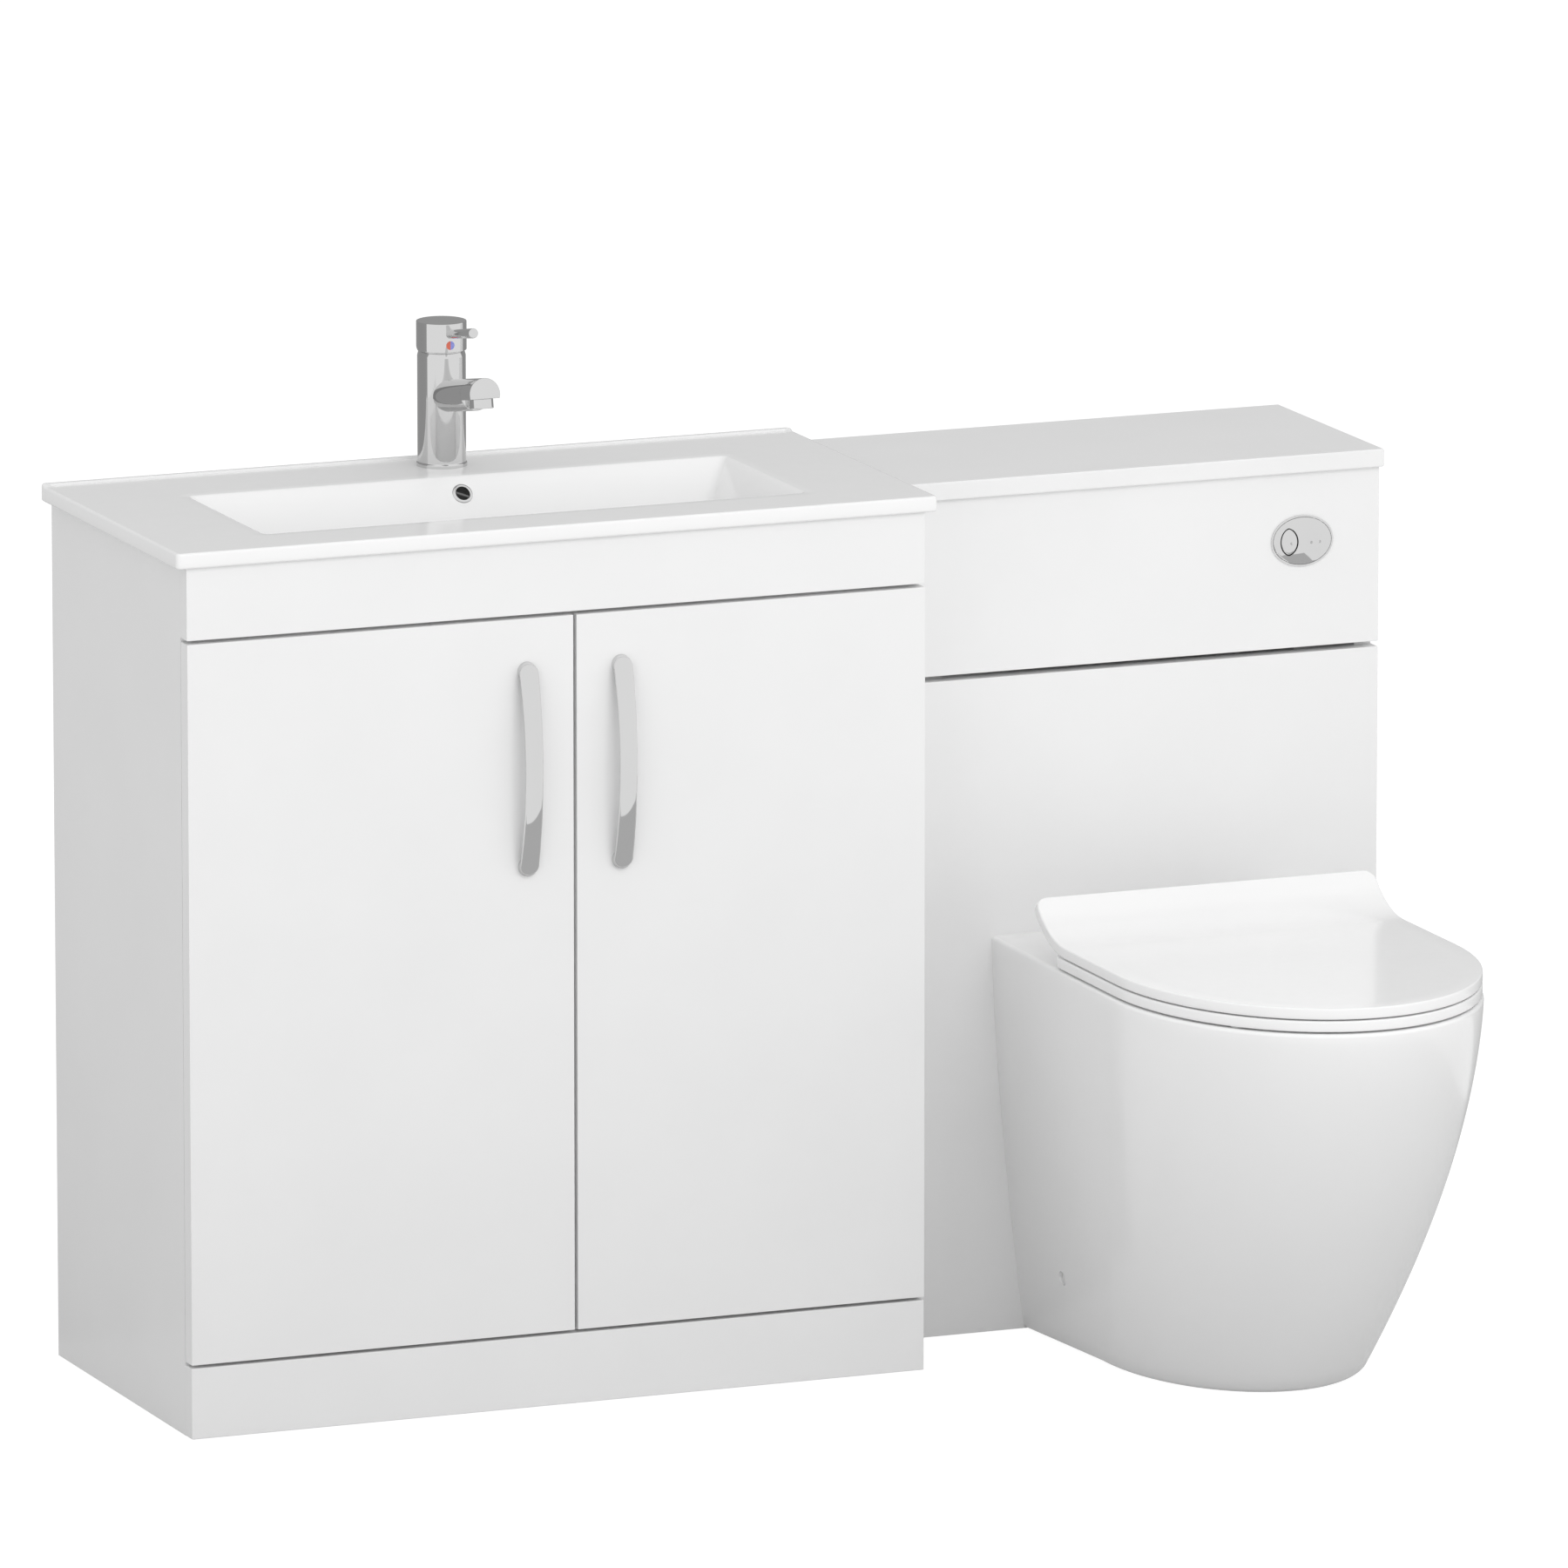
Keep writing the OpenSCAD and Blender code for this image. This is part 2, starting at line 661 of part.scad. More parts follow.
// Nut under the bowl, the trap's inlet nut and its outlet nut
module waste_nuts() color(white_plastic) placed() {
    translate([bowl_x, waste_y, 0]) {
        difference() {
            union() {
                rod_z(0, 0, boss_z - seal_h, boss_z, waste_r + 12);
                rod_z(0, 0, boss_z - seal_h - nut_h, boss_z - seal_h, waste_r + nut_wall + 2);
            }
            rod_z(0, 0, boss_z - seal_h - nut_h - over, boss_z + over, waste_r);
        }
        difference() {
            rod_z(0, 0, waste_z0 + 4, trap_z1, waste_r + nut_wall);
            rod_z(0, 0, waste_z0, trap_z1 + over, waste_r);
        }
    }
    difference() {
        rod_y(bowl_x, outlet_y1 - outlet_nut_in, outlet_y1 + outlet_nut_out, trap_out_z,
            trap_outlet_r + nut_wall + 3);
        rod_y(bowl_x, outlet_y1 - outlet_nut_in - over, outlet_y1, trap_out_z, trap_outlet_r + 4);
        rod_y(bowl_x, outlet_y1 - over, outlet_y1 + outlet_nut_out + over, trap_out_z, trap_outlet_r);
    }
}

trap_out_z = trap_head_z + trap_outlet_r + 5;
dip_r = 15;
cup_wall_t = 3;

module trap_body() color(white_plastic) placed() difference() {
    union() {
        rod_z(bowl_x, waste_y, trap_head_z, waste_z0 + 4, waste_r + nut_wall);
        rod_z(bowl_x, waste_y, trap_head_z - 14, trap_head_z, trap_r - cup_wall_t);
        rod_z(bowl_x, waste_y, trap_cup_z + 20, trap_head_z, dip_r);
        rod_y(bowl_x, waste_y, outlet_y1, trap_out_z, trap_outlet_r + 4);
    }
    rod_z(bowl_x, waste_y, waste_z0, waste_z0 + 4 + over, waste_r);
    rod_z(bowl_x, waste_y, trap_cup_z + 20 - over, waste_z0 + over, dip_r - 2.5);
    rod_y(bowl_x, waste_y + trap_r, outlet_y1 + over, trap_out_z, trap_outlet_r);
}

module trap_cup() color(white_plastic) placed() translate([bowl_x, waste_y, 0]) rotate_extrude() polygon([
    [0, trap_cup_z], [trap_r - 8, trap_cup_z], [trap_r - 2, trap_cup_z + 4], [trap_r, trap_cup_z + 12],
    [trap_r, trap_head_z - 14], [trap_r + 4, trap_head_z - 14], [trap_r + 4, trap_head_z],
    [trap_r - cup_wall_t, trap_head_z], [trap_r - cup_wall_t, trap_cup_z + 13],
    [trap_r - 6, trap_cup_z + 6], [0, trap_cup_z + 4]]);

// ---------------------------------------------------------------- tap

tap_base_r = tap_r + 1.2;
tap_base_h = 4;
tap_bevel = 1.2;
tap_bevel_h = 4.5;
tap_top = tap_body_h - cap_gap;            // flat top of the body, above the rim
cartridge_r = 17;
cartridge_h = 30;
shank_r = tap_hole_r - slack;
shank_l = rim_t - 2;
spout_axis = rim_z + spout_z;
nose_drop = 4.6;                           // from the spout's axis down to the flat of its nose
aerator_y = -spout_l + aerator_r + 0.5;
inlet_depth = 14;
inlet_x = 7.5;
inlet_y = -5.5;
stud_r = 3.9;
stud_y = 9;

module at_tap() placed() translate([tap_x, tap_y, 0]) children();

// The spout's axis as the y axis
module on_spout() translate([0, 0, spout_axis]) rotate([-spout_rise, 0, 0]) children();

module tap_body() color(chrome) at_tap() difference() {
    union() {
        rod_z(0, 0, rim_z, rim_z + tap_base_h, tap_base_r);
        rod_z(0, 0, rim_z, rim_z + tap_top - tap_bevel_h, tap_r);
        translate([0, 0, rim_z + tap_top - tap_bevel_h])
            cylinder(r1 = tap_r, r2 = tap_r - tap_bevel, h = tap_bevel_h);
        rod_z(0, 0, rim_z - shank_l, rim_z, shank_r);
        on_spout() difference() {
            rod_y(0, -spout_l, 0, 0, spout_r);
            box([-spout_r - over, -spout_l - over, -2 * spout_r],
                [spout_r + over, -spout_l + nose_l, -nose_drop]);
        }
    }
    rod_z(0, 0, rim_z + tap_top - cartridge_h, rim_z + tap_top + over, cartridge_r);
    on_spout() rod_z(0, aerator_y, -nose_drop - over, -nose_drop + 6, aerator_r - 3);
    for (x = [-inlet_x, inlet_x]) rod_z(x, inlet_y, rim_z - shank_l - over,
        rim_z - shank_l + inlet_depth, inlet_r);
    rod_z(0, stud_y, rim_z - shank_l - over, rim_z - shank_l + inlet_depth, stud_r);
}

aerator_h = 9.5;

module tap_aerator() color(chrome) at_tap() on_spout() translate([0, aerator_y, -nose_drop]) difference() {
    union() {
        rod_z(0, 0, -aerator_h, 0, aerator_r);
        rod_z(0, 0, 0, 5, aerator_r - 3);
    }
    rod_z(0, 0, -aerator_h - over, -3, aerator_r - 1.5);
    for (i = [-2:2], j = [-2:2]) if (abs(i) + abs(j) < 4)
        rod_z(3 * i, 3 * j, -3 - over, 5 + over, 0.9);
}

pivot_z = rim_z + tap_top + 7;             // axis on which the cap tilts
dome_r = 16.5;
turret_r = 10;
turret_l = 22;
pin_r = 2;
spindle_r = 5;
cap_z0 = rim_z + tap_body_h;
cap_z1 = cap_z0 + cap_h;
cap_wall = 3;
cap_roof_z = pivot_z + dome_r + 1;
spindle_tip = 3;                           // how far the spindle enters the cap's roof

module tap_cartridge() color(brass) at_tap() difference() {
    rod_z(0, 0, rim_z + tap_top - cartridge_h, rim_z + tap_top, cartridge_r);
    rod_z(0, 0, rim_z + tap_top - turret_l - rest_gap, rim_z + tap_top + over, turret_r + run);
}

module tap_turret() color(brass) at_tap() difference() {
    union() {
        rod_z(0, 0, rim_z + tap_top - turret_l, pivot_z, turret_r);
        intersection() {
            translate([0, 0, pivot_z]) sphere(r = dome_r);
            rod_z(0, 0, rim_z + tap_top + rest_gap, pivot_z + dome_r, dome_r);
        }
    }
    box([-spindle_r - rest_gap, -spindle_r - rest_gap, pivot_z - spindle_r - 1],
        [spindle_r + rest_gap, dome_r, pivot_z + dome_r + over]);
    rod_x(-dome_r, dome_r, 0, pivot_z, pin_r);
}

module tap_pivot_pin() color(steel) at_tap() rod_x(-turret_r - 2, turret_r + 2, 0, pivot_z, pin_r);

module tap_spindle() color(brass) at_tap() difference() {
    union() {
        rod_z(0, 0, pivot_z, cap_roof_z + spindle_tip, spindle_r);
        rod_x(-spindle_r, spindle_r, 0, pivot_z, spindle_r);
    }
    rod_x(-spindle_r - over, spindle_r + over, 0, pivot_z, pin_r + run);
}

lever_z = cap_z1 - 9.7;
lever_r0 = 4.4;
lever_r1 = 4.9;
lever_stud_r = 2.5;
lever_stud_l = 4;

// Along the lever, starting where its axis meets the cap's front
module on_lever() translate([0, -cap_r, lever_z]) rotate([90 - lever_rise, 0, 0]) children();

module tap_cap() color(chrome) at_tap() difference() {
    union() {
        translate([0, 0, cap_z0]) cylinder(r1 = cap_r - 1, r2 = cap_r, h = 1);
        rod_z(0, 0, cap_z0 + 1, cap_z1 - 0.8, cap_r);
        translate([0, 0, cap_z1 - 0.8]) cylinder(r1 = cap_r, r2 = cap_r - 0.8, h = 0.8);
    }
    rod_z(0, 0, cap_z0 - over, cap_roof_z, cap_r - cap_wall);
    rod_z(0, 0, cap_roof_z - over, cap_roof_z + spindle_tip, spindle_r);
    // the rear of the skirt is cut away so that the cap can tilt back
    translate([0, 0, cap_z0]) rotate([lever_lift + 2, 0, 0]) box([-cap_r - over, 0, -cap_h],
        [cap_r + over, 2 * cap_r, 0]);
    on_lever() translate([0, 0, -lever_stud_l]) cylinder(r = lever_stud_r, h = lever_stud_l + lever_r1);
}

module tap_lever() color(chrome) at_tap() {
    difference() {
        on_lever() translate([0, 0, -2]) cylinder(r1 = lever_r0, r2 = lever_r1, h = lever_l + 2);
        rod_z(0, 0, cap_z0, cap_z1, cap_r);
    }
    on_lever() translate([0, 0, -lever_stud_l]) cylinder(r = lever_stud_r, h = lever_stud_l + 3);
}

clamp_r = 23;
clamp_t = 4;

module tap_fixing() color(steel) at_tap() {
    rod_z(0, stud_y, vanity_h - 40, rim_z - shank_l + inlet_depth, stud_r);
    difference() {
        rod_z(0, 0, vanity_h - clamp_t, vanity_h, clamp_r);
        box([-clamp_r, -clamp_r - over, vanity_h - clamp_t - over], [clamp_r, 2, vanity_h + over]);
        rod_z(0, stud_y, vanity_h - clamp_t - over, vanity_h + over, stud_r);
    }
    difference() {
        rod_z(0, stud_y, vanity_h - clamp_t - 8, vanity_h - clamp_t, 6.5, $fn = 6);
        rod_z(0, stud_y, vanity_h - clamp_t - 8 - over, vanity_h - clamp_t + over, stud_r);
    }
}

// ---------------------------------------------------------------- WC cabinet

module wc_side_left() color(white_board) placed() box([wc_x0, wc_y, 0], [wc_in0, depth, wc_h]);

module wc_side_right() color(white_board) placed() box([wc_in1, wc_y, 0], [unit_w, depth, wc_h]);

wc_front_rail_w = 50;

module wc_front_rail() color(white_board) placed()
    box([wc_in0, wc_y, wc_h - board], [wc_in1, wc_y + wc_front_rail_w, wc_h]);

wc_rail_h = 100;
wc_screw_pitch = 400;

module wc_back_rail() color(white_board) placed() difference() {
    box([wc_in0, depth - board, wc_h - wc_rail_h], [wc_in1, depth, wc_h]);
    for (x = [-1, 1] * wc_screw_pitch / 2)
        rod_y((wc_in0 + wc_in1) / 2 + x, depth - board - over, depth + over, wc_h - 20, wall_screw_r);
}

tank_y1 = depth - board;
tank_y0 = tank_y1 - tank_d;
valve_y = (tank_y0 + tank_y1) / 2;
shelf_hole_r = tower_r + 4;

module cistern_shelf() color(white_board) placed() difference() {
    box([wc_in0, tank_y0 - 6, tank_z - board], [wc_in1, depth, tank_z]);
    rod_z(pan_x, valve_y, tank_z - board - over, tank_z + over, shelf_hole_r);
}

module worktop() color(white_board) placed()
    box([basin_x1 + top_joint, panel_y - top_front, wc_h], [top_x1, depth, wc_h + worktop_t]);

collar_wall = 0.8;
collar_flange = 1.2;
button_play = 0.3;
collar_a = button_a + button_play + collar_wall;
collar_b = button_b + button_play + collar_wall;

module oval(y0, y1, a, b) translate([button_x, 0, button_z]) along(y0, y1) polygon(ellipse(a, b));

module upper_panel() color(white_board) placed() difference() {
    box([wc_x0, panel_y, lower_panel_h + panel_gap], [unit_w, wc_y, wc_h]);
    oval(panel_y - over, wc_y + over, collar_a, collar_b);
}

flush_hole_r = flush_pipe_r + 5;
soil_hole_r = soil_r + 5;

module lower_panel() color(white_board) placed() difference() {
    box([wc_x0, panel_y, 0], [unit_w, wc_y, lower_panel_h]);
    rod_y(pan_x, panel_y - over, wc_y + over, inlet_z, flush_hole_r);
    rod_y(pan_x, panel_y - over, wc_y + over, outlet_z, soil_hole_r);
}

// ---------------------------------------------------------------- flush button

button_t = 5;
button_face_y = panel_y - button_proud;
button_back_y = button_face_y + button_t;
lens_t = 4;
collar_floor_y = button_face_y + lens_t + 2 * button_travel + 1;
collar_floor_t = 2;
guide_r = 18;
guide_wall = 3.5;
guide_l = 30;
guide_y1 = collar_floor_y + collar_floor_t + guide_l;
lens_x = -15.2;                    // middle of the lens from the button's middle
lens_play = 0.35;
half_stem_x = -11;
half_stem_r = 3;

module button_collar() color(chrome) placed() difference() {
    union() {
        oval(panel_y - collar_flange, panel_y, collar_a + 1, collar_b + 1);
        oval(panel_y, collar_floor_y + collar_floor_t, collar_a, collar_b);
        rod_y(button_x, collar_floor_y, guide_y1, button_z, guide_r + guide_wall);
    }
    oval(panel_y - collar_flange - over, collar_floor_y, collar_a - collar_wall, collar_b - collar_wall);
    rod_y(button_x, collar_floor_y - over, guide_y1 - 4, button_z, guide_r + run);
}

backnut_r = 38;
backnut_t = 7;

module button_backnut() color(white_plastic) placed() difference() {
    rod_y(button_x, wc_y, wc_y + backnut_t, button_z, backnut_r);
    rod_y(button_x, wc_y - over, wc_y + backnut_t + over, button_z, guide_r + guide_wall);
}

// Outline of the lens: two arcs that meet in points above and below
function lens_outline(a, b, n = 12) =
    let (r = (a * a + b * b) / (2 * a), half = asin(b / r))
    concat([for (i = [0:n]) let (t = -half + 2 * half * i / n) [a - r + r * cos(t), r * sin(t)]],
           [for (i = [1:n - 1]) let (t = -half + 2 * half * i / n) [r - a - r * cos(t), -r * sin(t)]]);

module lens(y0, y1, grow) translate([button_x + lens_x, 0, button_z]) along(y0, y1)
    polygon(lens_outline(lens_a + grow, lens_b + grow));

lens_room = lens_t + button_travel + 0.6;
shank_y1 = guide_y1 - 4 - button_travel - 1;

module full_flush_button() color(chrome) placed() difference() {
    union() {
        oval(button_face_y, button_back_y, button_a, button_b);
        rod_y(button_x, button_back_y, shank_y1, button_z, guide_r);
    }
    lens(button_face_y - over, button_face_y + lens_room, lens_play);
    rod_y(button_x + half_stem_x, button_face_y, shank_y1 + over, button_z, half_stem_r + run);
}

module half_flush_button() color(chrome) placed() {
    lens(button_face_y, button_face_y + lens_t, 0);
    rod_y(button_x + half_stem_x, button_face_y + lens_t, shank_y1 - 6, button_z, half_stem_r);
}

// ---------------------------------------------------------------- cistern

tank_top = tank_z + tank_h;
tank_x0 = pan_x - tank_w / 2;
tank_x1 = pan_x + tank_w / 2;
lid_plate = 10;
tail_r = 28;
tail_z = tank_z - board - 18;
fill_y = valve_y;
fill_x = tank_x0 + tank_wall + 34;
fill_z = tank_top - 45;

module cistern_tank() color(white_plastic) placed() difference() {
    rounded_box([tank_x0, tank_y0, tank_z], [tank_x1, tank_y1, tank_top], 14);
    rounded_box([tank_x0 + tank_wall, tank_y0 + tank_wall, tank_z + tank_wall],
                [tank_x1 - tank_wall, tank_y1 - tank_wall, tank_top + over], 14 - tank_wall);
    rod_z(pan_x, valve_y, tank_z - over, tank_z + tank_wall + over, tail_r + slack);
    rod_x(tank_x0 - over, tank_x0 + tank_wall + over, fill_y, fill_z, fill_r + slack);
}

cable_hole_r = 12;

module cistern_lid() color(white_plastic) placed() difference() {
    union() {
        rounded_box([tank_x0, tank_y0, tank_top], [tank_x1, tank_y1, tank_top + lid_plate], 14);
        rounded_box([tank_x0 + tank_wall + 1, tank_y0 + tank_wall + 1, tank_top - 5],
                    [tank_x1 - tank_wall - 1, tank_y1 - tank_wall - 1, tank_top], 13 - tank_wall);
    }
    rod_z(pan_x, valve_y, tank_top - 6, tank_top + lid_plate + over, cable_hole_r);
}

tower_wall = 3;
tower_top = tank_top - 20;
seat_ring_z = tank_z + tank_wall + 6;      // top of the valve's seat
valve_bore = 22;
window_h = 60;
window_w = 26;
lifter_r = 12;
guide_z = tower_top - 70;
seal_r = 27;
seal_t = 4;

module flush_valve() color(white_plastic) placed() translate([pan_x, valve_y, 0]) {
    difference() {
        union() {
            rod_z(0, 0, tank_z + tank_wall, seat_ring_z, tower_r + 2);
            rod_z(0, 0, tail_z, seat_ring_z, tail_r);
            rod_z(0, 0, seat_ring_z, tower_top, tower_r);
        }
        rod_z(0, 0, tail_z - over, tower_top - 4, valve_bore);
        difference() {
            rod_z(0, 0, seat_ring_z, tower_top - 4, tower_r - tower_wall);
            rod_z(0, 0, guide_z, guide_z + 5, tower_r);
        }
        for (turn = [0, 90]) rotate(turn)
            box([-window_w / 2, -tower_r - 3, seat_ring_z + 1], [window_w / 2, tower_r + 3,
                seat_ring_z + window_h]);
    }
    difference() {
        rod_z(0, 0, guide_z, guide_z + 5, valve_bore + 1);
        rod_z(0, 0, guide_z - over, guide_z + 5 + over, lifter_r + run);
    }
    // nut that holds the tail under the tank
    difference() {
        rod_z(0, 0, tank_z - 12, tank_z, tower_r + 2);
        rod_z(0, 0, tank_z - 12 - over, tank_z + over, tail_r);
    }
}

module valve_lifter() color(grey_plastic) placed() translate([pan_x, valve_y, 0]) difference() {
    union() {
        rod_z(0, 0, seat_ring_z + rest_gap, seat_ring_z + rest_gap + seal_t, seal_r);
        rod_z(0, 0, seat_ring_z + rest_gap, tower_top - 4 - valve_lift - 2, lifter_r);
    }
    rod_z(0, 0, seat_ring_z, tower_top, lifter_r - 2);
}

fill_tail_l = 34;
fill_nut_t = 6;
head_r = 16;
rod_r = 4;
float_r = 22;
float_h = 50;
float_stop_z = fill_z - 26 - float_travel - float_h - 6;

module fill_valve() color(white_plastic) placed() {
    rod_x(tank_x0 - fill_tail_l, tank_x0 - fill_nut_t, fill_y, fill_z, fill_r);
    rod_x(tank_x0 - fill_nut_t, tank_x0, fill_y, fill_z, fill_r + 5);
    rod_x(tank_x0, fill_x, fill_y, fill_z, fill_r - 0.5);
    rod_x(tank_x0 + tank_wall, tank_x0 + tank_wall + 5, fill_y, fill_z, fill_r + 5);
    rod_z(fill_x, fill_y, fill_z - 20, fill_z + 18, head_r);
    rod_z(fill_x, fill_y, float_stop_z - 4, fill_z - 20, rod_r);
    rod_z(fill_x, fill_y, float_stop_z - 4, float_stop_z, rod_r + 4);
}

module fill_float() color(grey_plastic) placed() translate([fill_x, fill_y,
    float_stop_z + rest_gap]) difference() {
    rotate_extrude() polygon([[0, 0], [float_r - 3, 0], [float_r, 3], [float_r, float_h - 3],
        [float_r - 3, float_h], [0, float_h]]);
    translate([0, 0, -over]) cylinder(r = rod_r + run, h = float_h + 2 * over);
}

pipe_wall = 2;
socket_h = 26;
pipe_turn_z = inlet_z + flush_bend;
pipe_y0 = panel_y - 34;

module flush_pipe() color(white_plastic) placed() translate([pan_x, valve_y, 0]) {
    difference() {
        rod_z(0, 0, tail_z - 8, tail_z + socket_h - 8, tail_r + 3);
        rod_z(0, 0, tail_z, tail_z + socket_h, tail_r);
        rod_z(0, 0, tail_z - 8 - over, tail_z + over, flush_pipe_r - pipe_wall);
    }
    difference() {
        rod_z(0, 0, pipe_turn_z, tail_z - 8, flush_pipe_r);
        rod_z(0, 0, pipe_turn_z - over, tail_z - 8 + over, flush_pipe_r - pipe_wall);
    }
    translate([0, -flush_bend, pipe_turn_z]) rotate([0, 90, 0]) rotate_extrude(angle = 90)
        translate([flush_bend, 0]) difference() {
            circle(r = flush_pipe_r);
            circle(r = flush_pipe_r - pipe_wall);
        }
    difference() {
        rod_y(0, pipe_y0 - valve_y, -flush_bend, inlet_z, flush_pipe_r);
        rod_y(0, pipe_y0 - valve_y - over, -flush_bend + over, inlet_z, flush_pipe_r - pipe_wall);
    }
}

// Flush cable, held at both ends: from the button's guide over the cistern lid to the valve
cable_r = 2.5;
cable_sides = 8;
cable_steps = 3;
cable_end_z = tower_top;

function cable_points() = [
    [button_x, guide_y1, button_z],
    [button_x, guide_y1 + 10, button_z + 1],
    [button_x - 4, tank_y0 - 18, button_z + 14],
    [button_x - 12, tank_y0 - 10, tank_top + 5],
    [button_x - 32, tank_y0 + 8, tank_top + lid_plate + 10],
    [button_x - 72, (tank_y0 + valve_y) / 2, tank_top + lid_plate + 13],
    [pan_x + 34, valve_y - 8, tank_top + lid_plate + 11],
    [pan_x + 9, valve_y - 1, tank_top + lid_plate + 3],
    [pan_x, valve_y, tank_top - 4],
    [pan_x, valve_y, cable_end_z]];

// Smooth curve through the points, by the rule of Catmull and Rom
function spline(p, steps) = let (last = len(p) - 1) concat(
    [for (i = [0:last - 1], s = [0:steps - 1])
        let (t = s / steps, a = p[max(i - 1, 0)], b = p[i], c = p[i + 1], d = p[min(i + 2, last)])
        b + t * ((c - a) / 2 + t * ((a - 2.5 * b + 2 * c - d / 2) + t * (1.5 * (b - c) + (d - a) / 2)))],
    [p[last]]);

function unit(v) = v / norm(v);

function tube_ring(p, i, r, n) =
    let (last = len(p) - 1,
         t = i == 0 ? [0, 1, 0] : i == last ? [0, 0, -1] : unit(p[i + 1] - p[i - 1]),
         u = unit(cross(t, [1, 1, 0])), w = cross(t, u))
    [for (k = [0:n - 1]) p[i] + r * (cos(360 * k / n) * u + sin(360 * k / n) * w)];

module flush_cable() color(grey_plastic) placed() {
    p = spline(cable_points(), cable_steps);
    loft([for (i = [0:len(p) - 1]) tube_ring(p, i, cable_r, cable_sides)]);
}

// ---------------------------------------------------------------- pan

pan_levels = 12;
pan_sides = 36;
foot_round = 6;

function ease(t, power) = 1 - pow(max(1 - t, 0), power);

function mix(a, b, t) = a + (b - a) * t;

// Outline of the pan at a height, shrunk inwards by inset, rear edge at rear_y (from pan_x, in y)
function pan_ring(z, inset, rear_y, n) =
    let (t = z / pan_h,
         foot = z < foot_round ? foot_round - sqrt(foot_round * foot_round - pow(foot_round - z, 2)) : 0,
         cut = inset + foot,
         a = mix(foot_a, pan_a, ease(t, 1.84)) - cut,
         rear_a = mix(foot_rear_a, pan_rear_a, ease(t, 1.5)) - cut,
         front = panel_y - mix(foot_l, pan_l, ease(t, 1.34)) + cut,
         shoulder = panel_y - mix(foot_shoulder, top_shoulder, ease(t, 1.9)))
    concat([[-rear_a, rear_y, z]],
           [for (i = [0:n]) let (q = 180 * i / n) [-a * cos(q), shoulder - (shoulder - front) * sin(q), z]],
           [[rear_a, rear_y, z]]);

module pan_outer() loft([for (k = [0:pan_levels])
    pan_ring(k == 0 ? 0 : k == 1 ? 2 : pan_h * (k - 1) / (pan_levels - 1), 0, panel_y, pan_sides)]);

skirt_top = pan_h - deck_t;

// Hollow under the pan, open at the floor and at the rear
module pan_hollow() loft([for (k = [0:7])
    let (z = k == 0 ? -over : skirt_top * k / 7)
    [for (p = pan_ring(max(z, foot_round), pan_wall, panel_y + over, 24)) [p.x, p.y, z]]]);

bowl_front = pan_front + pan_lip;
bowl_mid = bowl_front + pan_bowl_l / 2;
sump_z = 90;
sump_a = 40;
sump_l = 48;
sump_mid = bowl_mid + 36;
bowl_shell = 13;

// The bowl narrows and moves back towards the sump
function bowl_ring(z, grow, n = 36) =
    let (t = (z - sump_z) / (pan_h - sump_z),
         s = pow(max(t, 0), 0.55),
         a = mix(sump_a, pan_bowl_a, s) + grow,
         b = mix(sump_l, pan_bowl_l / 2, s) + grow,
         y = mix(sump_mid, bowl_mid, s))
    [for (i = [0:n - 1]) [a * cos(360 * i / n), y + b * sin(360 * i / n), z]];

module pan_bowl(grow, z0, z1) loft([for (k = [0:8])
    let (z = mix(z0, z1, pow(k / 8, 1.4))) bowl_ring(z, grow)]);

spigot_y0 = panel_y - 75;
spigot_y1 = panel_y - 4;
horn_r = flush_pipe_r + 7;
port_r = 15;
trap_leg_y = bowl_mid + pan_bowl_l / 2 + 18;
trap_low_z = sump_z + 24;
trap_high_z = outlet_z + 26;
trap_bore_r = 26;
trap_wall = 10;
post_xs = [-1, 1] * hinge_pitch / 2;
post_bolt_r = 4;
side_hole_y = panel_y - 110;
side_hole_z = 75;
side_hole_r = 8.5;
side_screw_r = 3;
bracket_x = 116;

// Water trap of the pan: back from the sump, up, and over the weir to the outlet
module trapway(r) {
    rod_y(0, sump_mid, trap_leg_y, trap_low_z, r);
    translate([0, trap_leg_y, trap_low_z]) sphere(r = r + 0.5);
    rod_z(0, trap_leg_y, trap_low_z, trap_high_z, r);
    translate([0, trap_leg_y, trap_high_z]) sphere(r = r + 0.5);
    reach = spigot_y0 - trap_leg_y;
    drop = trap_high_z - outlet_z;
    translate([0, trap_leg_y, trap_high_z]) rotate([-90 - atan2(drop, reach), 0, 0])
        cylinder(r = r, h = norm([reach, drop]));
}

module pan() color(ceramic) placed() translate([pan_x, 0, 0]) difference() {
    union() {
        difference() {
            pan_outer();
            pan_hollow();
        }
        pan_bowl(bowl_shell, sump_z - bowl_shell, skirt_top + over);
        rod_y(0, spigot_y0, spigot_y1, outlet_z, spigot_r);
        trapway(trap_bore_r + trap_wall);
        rod_y(0, bowl_mid + pan_bowl_l / 2, spigot_y1, inlet_z, horn_r);
    }
    pan_bowl(0, sump_z, pan_h + over);
    trapway(trap_bore_r);
    rod_y(0, spigot_y0 + 8, panel_y, outlet_z, spigot_r - 7);
    rod_y(0, bowl_mid + pan_bowl_l / 2 - 30, pipe_y0, inlet_z, port_r);
    rod_y(0, pipe_y0 - 6, panel_y, inlet_z, flush_pipe_r + slack);
    for (x = post_xs) rod_z(x, hinge_axis_y, skirt_top - over, pan_h + over, post_bolt_r + slack);
    for (side = [0, 1]) mirror([side, 0, 0]) {
        rod_x(bracket_x, pan_a, side_hole_y, side_hole_z, side_screw_r + slack);
        rod_x(screw_face, pan_a, side_hole_y, side_hole_z, side_hole_r);
    }
}

screw_face = foot_rear_a - 2;      // where the side screws' heads bear, from the pan's middle
bracket_l = 34;
bracket_w = 40;
bracket_t = 5;

